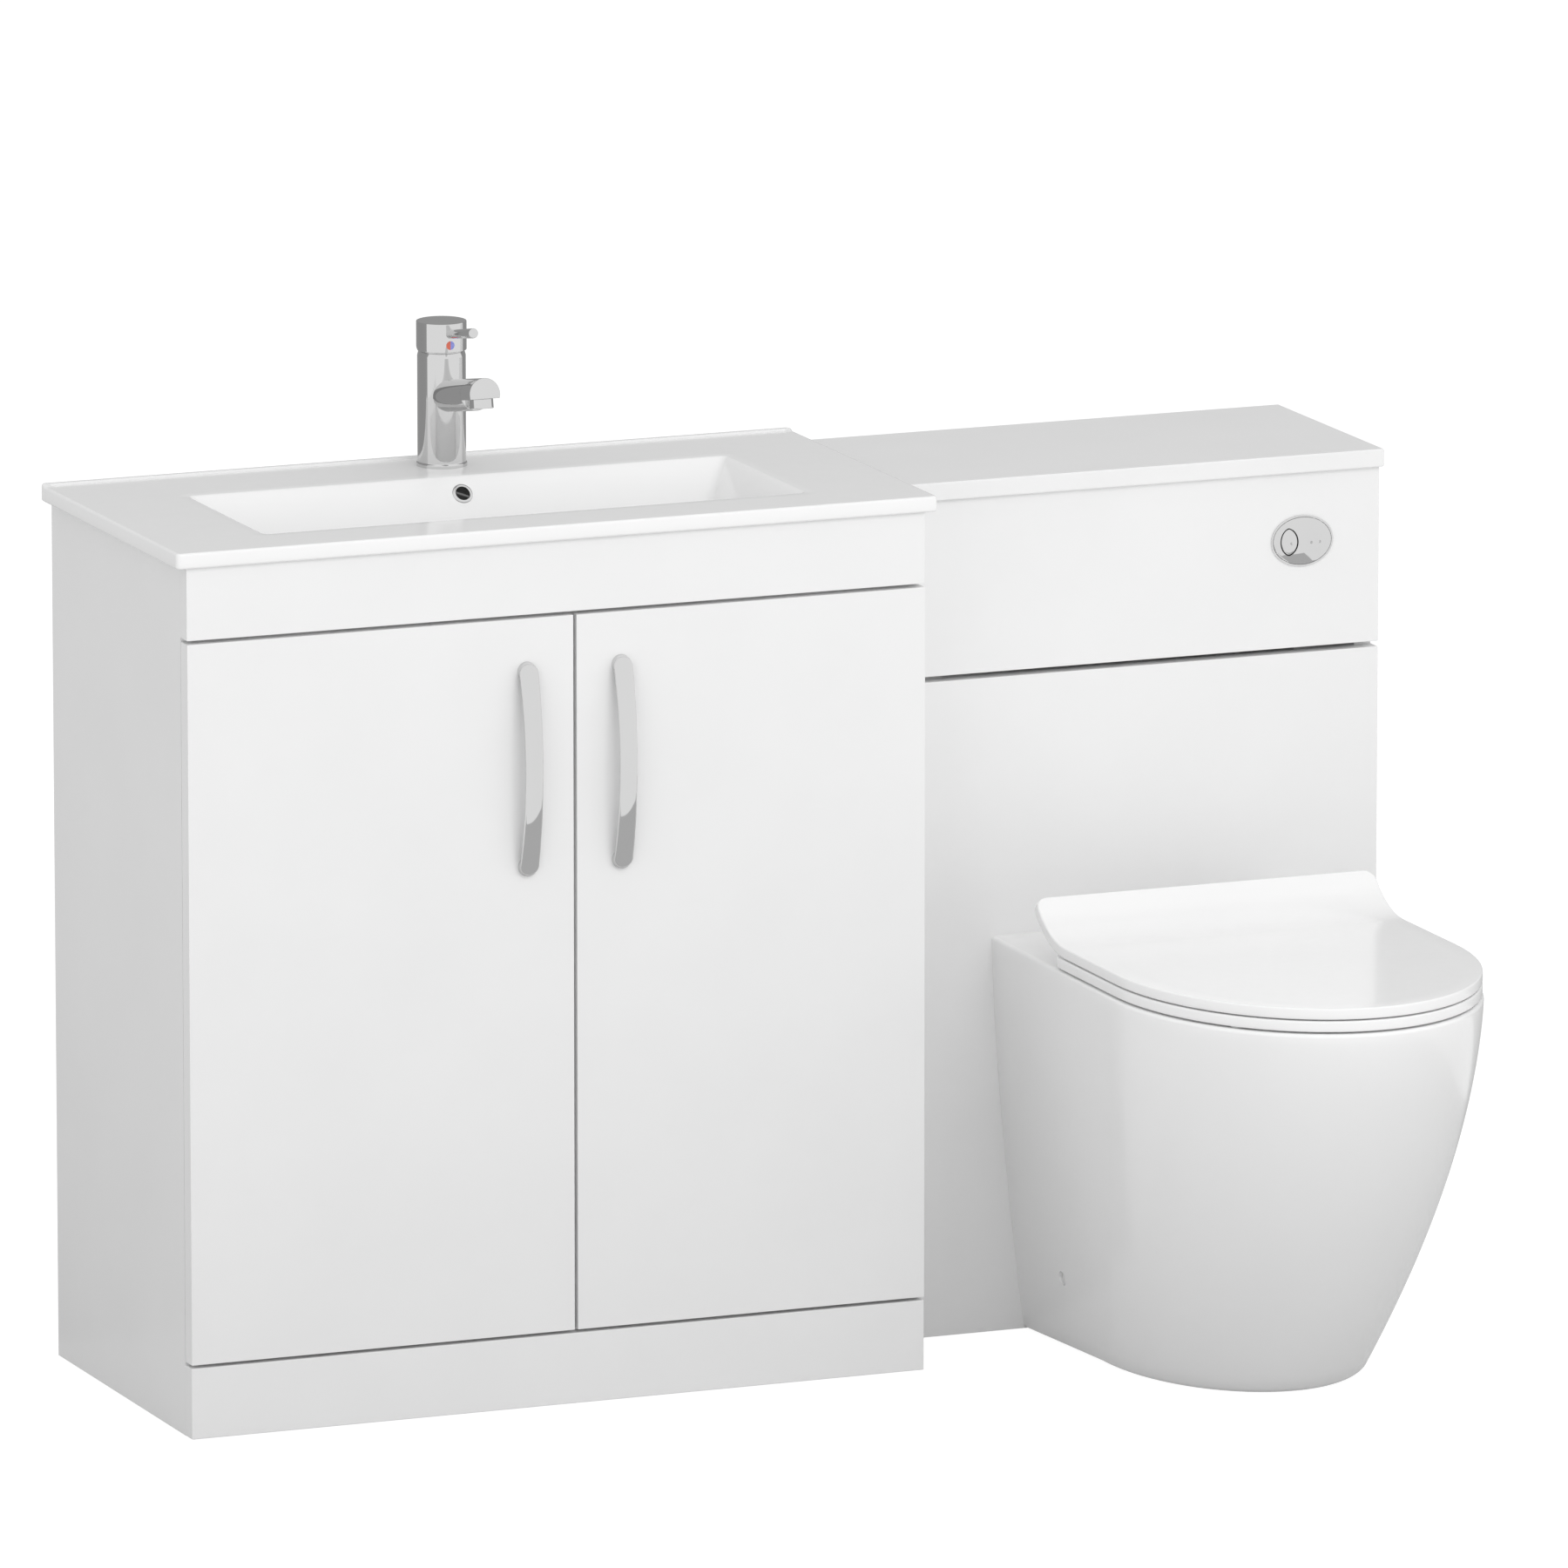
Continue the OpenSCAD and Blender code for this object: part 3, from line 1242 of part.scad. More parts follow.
module pan_fixings() color(steel) placed() translate([pan_x, 0, 0])
    for (side = [0, 1]) mirror([side, 0, 0]) {
    difference() {
        union() {
            box([bracket_x - bracket_l, side_hole_y - bracket_w / 2, 0], [bracket_x,
                side_hole_y + bracket_w / 2, bracket_t]);
            box([bracket_x - bracket_t, side_hole_y - bracket_w / 2, 0],
                [bracket_x, side_hole_y + bracket_w / 2, side_hole_z + bracket_w / 2]);
        }
        rod_x(bracket_x - bracket_t - over, bracket_x + over, side_hole_y, side_hole_z, side_screw_r);
        rod_z(bracket_x - bracket_l * 0.65, side_hole_y, -over, bracket_t + over, 4);
    }
    rod_x(bracket_x - 8, screw_face, side_hole_y, side_hole_z, side_screw_r);
    rod_x(screw_face, screw_face + 4, side_hole_y, side_hole_z, side_hole_r - 1.5);
}

module soil_connector() color(white_plastic) placed() difference() {
    rod_y(pan_x, spigot_y0 + 10, depth, outlet_z, soil_r);
    rod_y(pan_x, spigot_y0 + 10 - over, depth + over, outlet_z, soil_r - 3.5);
    rod_y(pan_x, spigot_y0 + 10 - over, spigot_y1 + rest_gap, outlet_z, spigot_r);
}

// ---------------------------------------------------------------- seat and lid

seat_front = pan_front + 1.5;
seat_rear = panel_y - 150;
ring_w = 47;
rear_bar = 42;
rear_corner = 20;

// Outline of the seat or lid from above, drawn from pan_x: straight sides, oval front, round rear corners
function seat_outline(a, front, rear, corner, n = 36) =
    let (shoulder = panel_y - top_shoulder)
    concat([for (i = [0:8]) let (q = 90 * i / 8) [-a + corner - corner * sin(q),
        rear - corner + corner * cos(q)]],
           [for (i = [0:n]) let (q = 180 * i / n) [-a * cos(q), shoulder - (shoulder - front) * sin(q)]],
           [for (i = [0:8]) let (q = 90 * i / 8) [a - corner + corner * cos(q),
               rear - corner + corner * sin(q)]]);

hub_r_seat = 8;
hub_w = 13;
post_w = 26;
seat_hub_x = hinge_pitch / 2 - post_w / 2 - hub_w - 0.5;
lid_hub_x = hinge_pitch / 2 + post_w / 2 + 0.5;
hinge_pin_r = 3;

// Hinge arm that runs from a plate to a hub on the hinge axis
module hinge_ear(x0, outline) for (side = [0, 1]) mirror([side, 0, 0]) difference() {
    union() {
        across(x0, x0 + hub_w) polygon(outline);
        rod_x(x0, x0 + hub_w, hinge_axis_y, hinge_z, hub_r_seat);
    }
    rod_x(x0 - over, x0 + hub_w + over, hinge_axis_y, hinge_z, hinge_pin_r + run);
}

module seat() color(white_plastic) placed() translate([pan_x, 0, 0]) {
    difference() {
        along_z(seat_z, seat_z + seat_t) polygon(seat_outline(seat_a, seat_front, seat_rear, rear_corner));
        translate([0, 0, seat_z - over]) along_z(0, seat_t + 2 * over)
            polygon(seat_hole());
    }
    hinge_ear(seat_hub_x, [[seat_rear - 14, seat_z + 1], [seat_rear - 14, seat_z + seat_t],
        [hinge_axis_y, hinge_z + hub_r_seat], [hinge_axis_y + 4, hinge_z - 2], [seat_rear + 6, seat_z + 1]]);
}

function seat_hole() =
    let (a = seat_a - ring_w, front = seat_front + ring_w, rear = seat_rear - rear_bar,
        mid = (front + rear) / 2 + 10)
    [for (i = [0:47]) let (q = 360 * i / 48)
        [a * cos(q), sin(q) > 0 ? mid + (rear - mid) * pow(sin(q), 0.9) : mid + (mid - front) * sin(q)]];

buffer_r = 7;
buffer_rear = 60;
buffer_front = 75;

module seat_buffers() color(grey_plastic) placed() translate([pan_x, 0, 0])
    for (side = [-1, 1], y = [seat_rear - buffer_rear, seat_front + buffer_front])
        rod_z(side * (y > bowl_mid ? seat_a - ring_w / 2 : seat_a - ring_w - 14), y, pan_h + rest_gap,
            seat_z, buffer_r);

lid_top = lid_z + lid_t;
curl_y = panel_y - lid_rear - curl_r * sin(curl_angle);      // where the lid starts to turn up
curl_z = lid_top + curl_r;

// Side view of the lid: flat, then turned up round curl_y, curl_z
function lid_profile(n = 14) = concat(
    [[seat_front - over, lid_z], [seat_front - over, lid_top]],
    [for (i = [0:n]) let (q = curl_angle * i / n) [curl_y + curl_r * sin(q), curl_z - curl_r * cos(q)]],
    [for (i = [n:-1:0]) let (q = curl_angle * i / n)
        [curl_y + (curl_r + lid_t) * sin(q), curl_z - (curl_r + lid_t) * cos(q)]]);

lid_end_y = curl_y + (curl_r + lid_t) * sin(curl_angle);

module lid() color(white_plastic) placed() translate([pan_x, 0, 0]) {
    intersection() {
        across(-seat_a - over, seat_a + over) polygon(lid_profile());
        along_z(lid_z - over, lid_top + curl_r)
            polygon(seat_outline(seat_a, seat_front, lid_end_y, rear_corner));
    }
    ear_y0 = curl_y + 22;
    ear_y1 = curl_y + 52;
    hinge_ear(lid_hub_x, [
        [ear_y0, curl_z - sqrt(pow(curl_r + lid_t - 2, 2) - pow(ear_y0 - curl_y, 2))],
        [ear_y1, curl_z - sqrt(pow(curl_r + lid_t - 2, 2) - pow(ear_y1 - curl_y, 2))],
        [hinge_axis_y + hub_r_seat - 3, hinge_z + 5], [hinge_axis_y - 2, hinge_z - hub_r_seat + 1],
        [seat_rear + 4, lid_z + 0.2], [ear_y0, lid_z + 0.2]]);
}

module hinge_posts() color(chrome) placed() translate([pan_x, 0, 0]) for (x = post_xs) {
    rod_z(x, hinge_axis_y, pan_h, pan_h + 4, 17);
    box([x - post_w / 2, hinge_axis_y - 7, pan_h + 3], [x + post_w / 2, hinge_axis_y + 7, hinge_z]);
    rod_x(x - post_w / 2, x + post_w / 2, hinge_axis_y, hinge_z, 9);
    rod_x(x - post_w / 2 - hub_w - 2, x + post_w / 2 + hub_w + 2, hinge_axis_y, hinge_z, hinge_pin_r);
    rod_z(x, hinge_axis_y, skirt_top - 22, pan_h + 1, post_bolt_r);
    rod_z(x, hinge_axis_y, skirt_top - 12, skirt_top, 11);
}

// ---------------------------------------------------------------- nodes

vanity_side_left();
vanity_side_right();
vanity_base();
vanity_front_rail();
vanity_back_rails();
vanity_shelf();
shelf_pins();
fascia();
plinth();
door_left();
door_right();
handle_left();
handle_right();
hinge_cups_left();
hinge_cups_right();
hinge_arms();
basin();
overflow_ring();
waste_body();
waste_plug();
waste_nuts();
trap_body();
trap_cup();
tap_body();
tap_aerator();
tap_cartridge();
tap_turret();
tap_pivot_pin();
tap_spindle();
tap_cap();
tap_lever();
tap_fixing();
wc_side_left();
wc_side_right();
wc_front_rail();
wc_back_rail();
cistern_shelf();
worktop();
upper_panel();
lower_panel();
button_collar();
button_backnut();
full_flush_button();
half_flush_button();
flush_cable();
cistern_tank();
cistern_lid();
flush_valve();
valve_lifter();
fill_valve();
fill_float();
flush_pipe();
pan();
soil_connector();
pan_fixings();
seat();
seat_buffers();
lid();
hinge_posts();
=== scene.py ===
"""Looks of the toilet and basin combination unit: glazed and moulded forms, metal fittings, materials, light
and camera.

Lengths in the functions are in millimetres from the vanity's front left corner on the floor, as in the CAD
source: x to the right, y to the back, z up. at() turns such a point into the frame's metres.
"""

import json
from math import asin, atan2, cos, hypot, pi, radians, sin, sqrt, tan

import bmesh
import bpy
from mathutils import Matrix, Vector


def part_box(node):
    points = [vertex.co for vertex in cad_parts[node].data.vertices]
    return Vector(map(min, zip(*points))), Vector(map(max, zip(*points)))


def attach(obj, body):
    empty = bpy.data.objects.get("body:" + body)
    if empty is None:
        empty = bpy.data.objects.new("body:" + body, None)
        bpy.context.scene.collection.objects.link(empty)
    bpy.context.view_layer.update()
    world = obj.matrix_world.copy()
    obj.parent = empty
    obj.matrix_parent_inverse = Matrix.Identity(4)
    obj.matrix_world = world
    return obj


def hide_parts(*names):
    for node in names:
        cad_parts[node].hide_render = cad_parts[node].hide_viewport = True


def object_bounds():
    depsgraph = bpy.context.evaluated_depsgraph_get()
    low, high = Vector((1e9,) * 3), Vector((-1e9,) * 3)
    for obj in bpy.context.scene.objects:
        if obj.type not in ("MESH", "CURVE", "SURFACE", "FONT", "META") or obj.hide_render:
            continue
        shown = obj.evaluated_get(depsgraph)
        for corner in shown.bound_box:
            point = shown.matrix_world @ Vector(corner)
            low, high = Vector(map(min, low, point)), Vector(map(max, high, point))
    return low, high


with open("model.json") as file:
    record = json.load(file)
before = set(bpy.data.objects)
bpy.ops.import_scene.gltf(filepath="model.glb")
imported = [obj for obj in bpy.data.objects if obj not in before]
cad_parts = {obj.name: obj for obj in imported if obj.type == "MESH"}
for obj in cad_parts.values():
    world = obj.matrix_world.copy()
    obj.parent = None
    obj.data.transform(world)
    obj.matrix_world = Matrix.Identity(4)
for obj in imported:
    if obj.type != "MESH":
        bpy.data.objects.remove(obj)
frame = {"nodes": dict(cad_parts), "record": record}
nodes = frame["nodes"]
cad_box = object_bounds()

MM = 0.001
X, Y, Z = 0, 1, 2
X0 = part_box("vanity_side_left")[0][X] / MM
Y0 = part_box("door_left")[0][Y] / MM


def at(x, y, z):
    return Vector(((x + X0) * MM, (y + Y0) * MM, z * MM))


def span(node, axis):
    """Lowest and highest value of a node along an axis, in the script's millimetres."""
    shift = (X0, Y0, 0)[axis]
    return [corner[axis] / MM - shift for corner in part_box(node)]


def middle(node, axis):
    return sum(span(node, axis)) / 2


def half_size(node, axis):
    first, last = span(node, axis)
    return (last - first) / 2


def add_object(name, data):
    obj = bpy.data.objects.new(name, data)
    bpy.context.collection.objects.link(obj)
    return obj


# ---- camera

LENS = 419.5
SENSOR_WIDTH = 36
CLIP_END = 200
VIEW_YAW = 22.18
VIEW_PITCH = 11.73
VIEW_DISTANCE = 17.807
VIEW_TARGET = Vector((0.0076, 0.1151, 0.5761))


def add_camera():
    yaw = radians(VIEW_YAW)
    pitch = radians(VIEW_PITCH)
    ahead = Vector((sin(yaw) * cos(pitch), cos(yaw) * cos(pitch), -sin(pitch)))
    data = bpy.data.cameras.new("camera")
    data.lens = LENS
    data.sensor_width = SENSOR_WIDTH
    data.sensor_fit = "HORIZONTAL"
    data.clip_end = CLIP_END
    camera = add_object("camera", data)
    camera.location = VIEW_TARGET - ahead * VIEW_DISTANCE
    camera.rotation_euler = (radians(90) - pitch, 0, -yaw)
    bpy.context.scene.camera = camera


add_camera()
bpy.context.scene.view_settings.view_transform = "Standard"

# ---- materials

CLOUD_SCALE = 9.0
COAT_ROUGHNESS = 0.04
RELIEF_STRENGTH = 0.25


def rgba(colour):
    """A shader's colour from three parts, or from one number for a grey."""
    return (*colour, 1) if isinstance(colour, tuple) else (colour, colour, colour, 1)


def new_surface(name):
    """An empty material, its node tree and the input that its surface shader goes to."""
    material = bpy.data.materials.new(name)
    material.use_nodes = True
    tree = material.node_tree
    tree.nodes.clear()
    return material, tree, tree.nodes.new("ShaderNodeOutputMaterial").inputs["Surface"]


def add_node(tree, kind, inputs, **settings):
    """A shader node; each input is given as a value, or as the output of another node."""
    node = tree.nodes.new("ShaderNode" + kind)
    for key, value in settings.items():
        setattr(node, key, value)
    for key, value in inputs.items():
        if isinstance(value, bpy.types.NodeSocket):
            tree.links.new(value, node.inputs[key])
        else:
            node.inputs[key].default_value = value
    return node


def object_point(tree):
    """The shaded point in the object's own coordinates, in metres."""
    return tree.nodes.new("ShaderNodeTexCoord").outputs["Object"]


def noise(tree, scale, detail=3.0, stretch=(1, 1, 1)):
    """Noise that keeps its scale on every piece."""
    mapping = add_node(tree, "Mapping", {"Vector": object_point(tree), "Scale": stretch})
    inputs = {"Vector": mapping.outputs["Vector"], "Scale": scale, "Detail": detail}
    return add_node(tree, "TexNoise", inputs).outputs["Fac"]


def ramp(tree, factor, first, last, start=0.3, end=0.7):
    node = add_node(tree, "ValToRGB", {"Fac": factor})
    stops = node.color_ramp.elements
    stops[0].position = start
    stops[0].color = rgba(first)
    stops[1].position = end
    stops[1].color = rgba(last)
    return node.outputs["Color"]


def rescale(tree, value, limits):
    """A value moved from one range to another; both are 0 to 1 but for the given limits."""
    return add_node(tree, "MapRange", {"Value": value, **limits}).outputs["Result"]


def painted_low_shade(tree, colour, darkest, low_z, high_z):
    """The colour, toned down towards a lower height: painted shade, greyer low in the bowl where less light
    reaches.
    """
    parts = add_node(tree, "SeparateXYZ", {0: object_point(tree)}).outputs
    level = rescale(tree, parts[Z], {"From Min": low_z, "From Max": high_z})
    inputs = {0: 1.0, 6: colour, 7: ramp(tree, level, darkest, 1.0, 0.0, 1.0)}
    return add_node(tree, "Mix", inputs, data_type="RGBA", blend_type="MULTIPLY").outputs[2]


def make_look(
        name, colour, shade, roughness, grain, relief,
        coat=0.0, metal=0.0, stretch=(1, 1, 1), gloss=0.5, low_shade=None):
    """A surface whose colour and roughness vary a little, with a fine relief of a given grain."""
    material, tree, surface = new_surface(name)
    tone = ramp(tree, noise(tree, CLOUD_SCALE), shade, colour)
    # Painted shade: the colour darkens towards the bottom of a bowl.
    if low_shade is not None:
        tone = painted_low_shade(tree, tone, *low_shade)
    fine = noise(tree, grain, 2.0, stretch)
    bump = add_node(tree, "Bump", {"Height": fine, "Strength": RELIEF_STRENGTH, "Distance": relief})
    shader = add_node(tree, "BsdfPrincipled", {
        "Base Color": tone,
        "Specular IOR Level": gloss,
        "Roughness": rescale(tree, fine, {"To Min": roughness * 0.85, "To Max": roughness * 1.2}),
        "Metallic": metal,
        "Coat Weight": coat,
        "Coat Roughness": COAT_ROUGHNESS,
        "Normal": bump.outputs["Normal"],
    })
    tree.links.new(shader.outputs["BSDF"], surface)
    return material


# Near-black painted shade, for the overflow's well and the gap round the small flush lens.
painted_shade_black = make_look("painted_shade_black", 0.045, 0.03, 0.6, 300, 0.00004)
hot_red = make_look("hot_red", (0.80, 0.17, 0.10), (0.74, 0.15, 0.09), 0.25, 300, 0.00001, coat=0.3)
cold_blue = make_look("cold_blue", (0.28, 0.32, 0.80), (0.25, 0.29, 0.72), 0.25, 300, 0.00001, coat=0.3)

SLOT_LOOKS = {
    "white_board": make_look("white_foil", 0.86, 0.845, 0.34, 900, 0.00003, coat=0.12),
    # The basin's glaze is painted darker low in its bowl, a painted shade.
    "basin_ceramic": make_look(
        "glaze", 0.9, 0.89, 0.15, 60, 0.00006, coat=0.05, gloss=0.35, low_shade=(0.905, 0.82, 0.862)),
    "pan_ceramic": make_look("pan_glaze", 0.92, 0.91, 0.2, 60, 0.00006, coat=0.2),
    "seat_plastic": make_look("seat_gloss", 0.91, 0.9, 0.16, 90, 0.00003, coat=0.05, gloss=0.35),
    "white_plastic": make_look("white_moulding", 0.78, 0.75, 0.42, 1400, 0.00004),
    "grey_plastic": make_look("grey_moulding", 0.16, 0.13, 0.48, 1400, 0.00004),
    "clear_rubber": make_look("soft_buffer", 0.62, 0.56, 0.5, 700, 0.00005),
    "chrome": make_look("mirror_chrome", 0.68, 0.66, 0.04, 45, 0.00001, metal=1.0),
    "steel": make_look("satin_steel", 0.52, 0.47, 0.32, 500, 0.00002, metal=1.0, stretch=(1, 1, 8)),
    "brass": make_look(
        "machined_brass", (0.72, 0.55, 0.27), (0.66, 0.50, 0.24), 0.26, 600, 0.00002, metal=1.0),
}

# ---- lines and curves

FRONT_STEPS = 72


def mix(a, b, t):
    return a + (b - a) * t


def clamp(value, lowest, highest):
    return min(max(value, lowest), highest)


def ease(t, power):
    """Rises from 0 to 1 with t, fast at first and then ever slower."""
    return 1 - (1 - clamp(t, 0, 1)) ** power


def shares(count):
    """Equal steps from 0 up to the last one before 1."""
    return [i / count for i in range(count)]


def circle(radius, count):
    """Points on a circle round a plane's origin."""
    angles = [2 * pi * i / count for i in range(count)]
    return [(radius * cos(q), radius * sin(q)) for q in angles]


def oval_front(half, shoulder, front):
    """Half an oval round the line x = 0, from its left shoulder by its front to its right shoulder."""
    angles = [pi * i / FRONT_STEPS for i in range(FRONT_STEPS + 1)]
    return [(-half * cos(q), shoulder - (shoulder - front) * sin(q)) for q in angles]


def arc(centre, radius, start, end, steps):
    """Points on an arc in a plane, angles in degrees."""
    angles = [radians(start + (end - start) * i / steps) for i in range(steps + 1)]
    return [(centre[0] + radius * cos(q), centre[1] + radius * sin(q)) for q in angles]


def ellipse_loop(cx, y, cz, a, b, count=96):
    """Upright ellipse at a distance y from the front."""
    angles = [2 * pi * i / count for i in range(count)]
    return [(cx + a * cos(q), y, cz + b * sin(q)) for q in angles]


def drawn_in(outline, share, lowest, highest):
    """The outline drawn in towards the line from lowest to highest on its second axis."""
    return [(u * (1 - share), mix(s, clamp(s, lowest, highest), share)) for u, s in outline]


def turned_to(direction):
    """Rotation that lays an upright axis along a direction."""
    return Vector(direction).to_track_quat("Z", "Y").to_matrix()


def ring(place, turn, radius, height, count):
    """Circle at a height on a turned axis that starts at a place."""
    return [tuple(Vector(place) + turn @ Vector((x, y, height))) for x, y in circle(radius, count)]


UPRIGHT = Matrix.Identity(3)
BACKWARD = turned_to((0, 1, 0))
FORWARD = turned_to((0, -1, 0))

# ---- mesh helpers

WELD = 0.00001
SLIVER = 0.000005
CUT_CREASE = 50


def mark_creases(work, angle):
    """Edges where two faces meet at more than the angle stay crisp; all else is shaded as one smooth skin."""
    for edge in work.edges:
        if len(edge.link_faces) == 2 and edge.calc_face_angle(0) > radians(angle):
            edge.smooth = False
    for face in work.faces:
        face.smooth = True


def rework(mesh, change):
    """Lets a function edit the mesh's points, edges and faces."""
    work = bmesh.new()
    work.from_mesh(mesh)
    change(work)
    work.to_mesh(mesh)
    work.free()


def turn_outward(work):
    bmesh.ops.recalc_face_normals(work, faces=work.faces)


def finish_mesh(name, mesh, body, slot, look=None, angle=35):
    """Cleans a mesh and makes a piece of it that rides on a body; it looks as its slot does, or as given."""

    def clean(work):
        bmesh.ops.remove_doubles(work, verts=work.verts, dist=WELD)
        bmesh.ops.dissolve_degenerate(work, edges=work.edges, dist=SLIVER)
        turn_outward(work)
        mark_creases(work, angle)

    obj = add_object(name, mesh)
    rework(mesh, clean)
    mesh.materials.append(SLOT_LOOKS[slot] if look is None else look)
    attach(obj, body)
    return obj


def skin(name, loops, caps=True, closed=False, strip=False):
    """Mesh of quads through loops of equally many points.

    caps closes both ends by a face, closed joins the last loop to the first, and a strip's loops are open.
    """
    count = len(loops[0])
    total = len(loops) * count
    faces = []
    for k in range(len(loops) if closed else len(loops) - 1):
        a = k * count
        b = (k + 1) % len(loops) * count
        for i in range(count - 1 if strip else count):
            j = (i + 1) % count
            faces.append((a + i, a + j, b + j, b + i))
    if caps:
        faces.append(tuple(range(count)))
        faces.append(tuple(range(total - count, total))[::-1])
    mesh = bpy.data.meshes.new(name)
    mesh.from_pydata([at(*p) for loop in loops for p in loop], [], faces)
    return mesh


def loft(name, loops, body, slot, look=None, caps=True, closed=False, angle=35):
    mesh = skin(name, loops, caps and not closed, closed)
    return finish_mesh(name, mesh, body, slot, look, angle)


def revolve(name, profile, place, body, slot, look=None, turn=UPRIGHT, count=96, closed=False, angle=35):
    """Turned piece of (radius, height) pairs; its own upright axis is turned, then starts at a place."""
    loops = [ring(place, turn, radius, height, count) for radius, height in profile]
    return loft(name, loops, body, slot, look, closed=closed, angle=angle)


def tool(name, loops):
    """A closed solid used only for cutting."""
    mesh = skin(name, loops)
    rework(mesh, turn_outward)
    return add_object(name, mesh)


def rod_tool(name, start, end, radius, count=64):
    turn = turned_to(Vector(end) - Vector(start))
    return tool(name, [ring(place, turn, radius, 0, count) for place in (start, end)])


def cut(obj, *cutters):
    """Takes the cutters' volume away from obj, and removes them."""
    for cutter in cutters:
        change = obj.modifiers.new("cut", "BOOLEAN")
        change.object = cutter
        change.operation = "DIFFERENCE"
        change.solver = "EXACT"
    bpy.context.view_layer.update()
    seen = obj.evaluated_get(bpy.context.evaluated_depsgraph_get())
    mesh = bpy.data.meshes.new_from_object(seen)
    rework(mesh, lambda work: mark_creases(work, CUT_CREASE))
    obj.modifiers.clear()
    obj.data = mesh
    for cutter in cutters:
        bpy.data.objects.remove(cutter)


# ---- glazed basin

BASIN_X = span("basin", X)
BASIN_Y = span("basin", Y)
SLAB_BOTTOM = span("fascia", Z)[1]
SLAB_CORNER = 5
SLAB_ROUND = 2.6
LIP_HEIGHT = 2.0
LIP_WIDTH = 9.0
LIP_SLOPE = 3.0
RIM_TOP = span("basin", Z)[1] - LIP_HEIGHT
BOWL_LENGTH = 559.0
BOWL_WIDTH = 207.0
BOWL_FRONT = 61.0
BOWL_DEPTH = 105.0
BOWL_ROUND = 28.0
BOWL_CORNER_TOP = 6
BOWL_CORNER_FLOOR = 26
SIDE_RUN = 62.0
FRONT_RUN = 25.0
BACK_RUN = 65.0
BASIN_WALL = 9.0
BOWL_X = middle("basin", X)
BOWL_LEFT = BOWL_X - BOWL_LENGTH / 2
BOWL_RIGHT = BOWL_X + BOWL_LENGTH / 2
BOWL_FLOOR = RIM_TOP - BOWL_DEPTH
BOWL_BACK = BOWL_FRONT + BOWL_WIDTH
WASTE_Y = (BOWL_FRONT + FRONT_RUN + BOWL_BACK - BACK_RUN) / 2
WASTE_HOLE_R = 23.0
FLANGE_R = 32.5
BOSS_R = 37
BOSS_Z = span("basin", Z)[0]
CORNER_STEPS = 10
SIDE_STEPS = 26

TAP_X = middle("tap_cartridge", X)
TAP_Y = middle("tap_cartridge", Y)
TAP_HOLE_R = 17.6

OVERFLOW_DEPTH = 15.5
OVERFLOW_HOLE_R = 8.0
OVERFLOW_BAR_TILT = radians(24)


def rounded_loop(x0, x1, y0, y1, radius, z):
    """Rounded rectangle, with more points near its corners; z is a height or a function of x and y."""
    radius = min(radius, (x1 - x0) / 2, (y1 - y0) / 2)
    centres = [
        (x1 - radius, y1 - radius), (x0 + radius, y1 - radius),
        (x0 + radius, y0 + radius), (x1 - radius, y0 + radius)]
    corners = [arc(c, radius, 90 * k, 90 * (k + 1), CORNER_STEPS) for k, c in enumerate(centres)]
    flat = []
    for k, corner in enumerate(corners):
        start = corner[-1]
        end = corners[(k + 1) % 4][0]
        flat += corner
        for i in range(1, SIDE_STEPS):
            t = 0.5 - 0.5 * cos(pi * (i / SIDE_STEPS))
            flat.append((mix(start[0], end[0], t), mix(start[1], end[1], t)))
    return [(x, y, z(x, y) if callable(z) else z) for x, y in flat]


def wall_lean(run):
    """Angle from upright of a bowl wall that comes in by run before its round foot ends in the floor."""
    reach = run + BOWL_ROUND
    drop = BOWL_DEPTH - BOWL_ROUND
    return atan2(reach, drop) - asin(BOWL_ROUND / hypot(reach, drop))


def wall_inset(run, depth, grow):
    """How far a leaning wall has come in at a depth below the rim, with its round foot."""
    lean = wall_lean(run)
    drop = BOWL_DEPTH - BOWL_ROUND
    if depth <= drop + BOWL_ROUND * sin(lean):
        return depth * tan(lean) - grow / cos(lean)
    below = min(depth - drop, BOWL_ROUND)
    return run + BOWL_ROUND - sqrt(max((BOWL_ROUND + grow) ** 2 - below ** 2, 0))


def foot_depth(angle):
    """Depth on the walls' round foot, which ends in the bowl's floor at 90 degrees."""
    return BOWL_DEPTH - BOWL_ROUND * (1 - sin(radians(angle)))


def bowl_loop(depth, grow=0.0, shift=0.0):
    """The bowl at a depth below the rim, grown outward and shifted down."""
    radius = mix(BOWL_CORNER_TOP, BOWL_CORNER_FLOOR, (depth / BOWL_DEPTH) ** 1.5) + grow
    side = wall_inset(SIDE_RUN, depth, grow)
    return rounded_loop(
        BOWL_LEFT + side,
        BOWL_RIGHT - side,
        BOWL_FRONT + wall_inset(FRONT_RUN, depth, grow),
        BOWL_BACK - wall_inset(BACK_RUN, depth, grow),
        radius, RIM_TOP - depth - shift)


def grown_loop(x_span, y_span, out, radius, z):
    """Rounded rectangle over two spans, larger by out on every side."""
    return rounded_loop(x_span[0] - out, x_span[1] + out, y_span[0] - out, y_span[1] + out, radius, z)


def opening_loop(out, radius, z):
    return grown_loop((BOWL_LEFT, BOWL_RIGHT), (BOWL_FRONT, BOWL_BACK), out, radius, z)


def circle_loop(radius, z):
    return grown_loop((BOWL_X, BOWL_X), (WASTE_Y, WASTE_Y), radius, radius, z)


def slab_loop(inset, z):
    return grown_loop(BASIN_X, BASIN_Y, -inset, max(SLAB_CORNER - inset, 1), z)


def lip_top(_, y):
    """Height of the slab's top, with the raised edge along the wall."""
    t = clamp((y - (BASIN_Y[1] - LIP_WIDTH - LIP_SLOPE / 2)) / LIP_SLOPE, 0, 1)
    return RIM_TOP + LIP_HEIGHT * t * t * (3 - 2 * t)


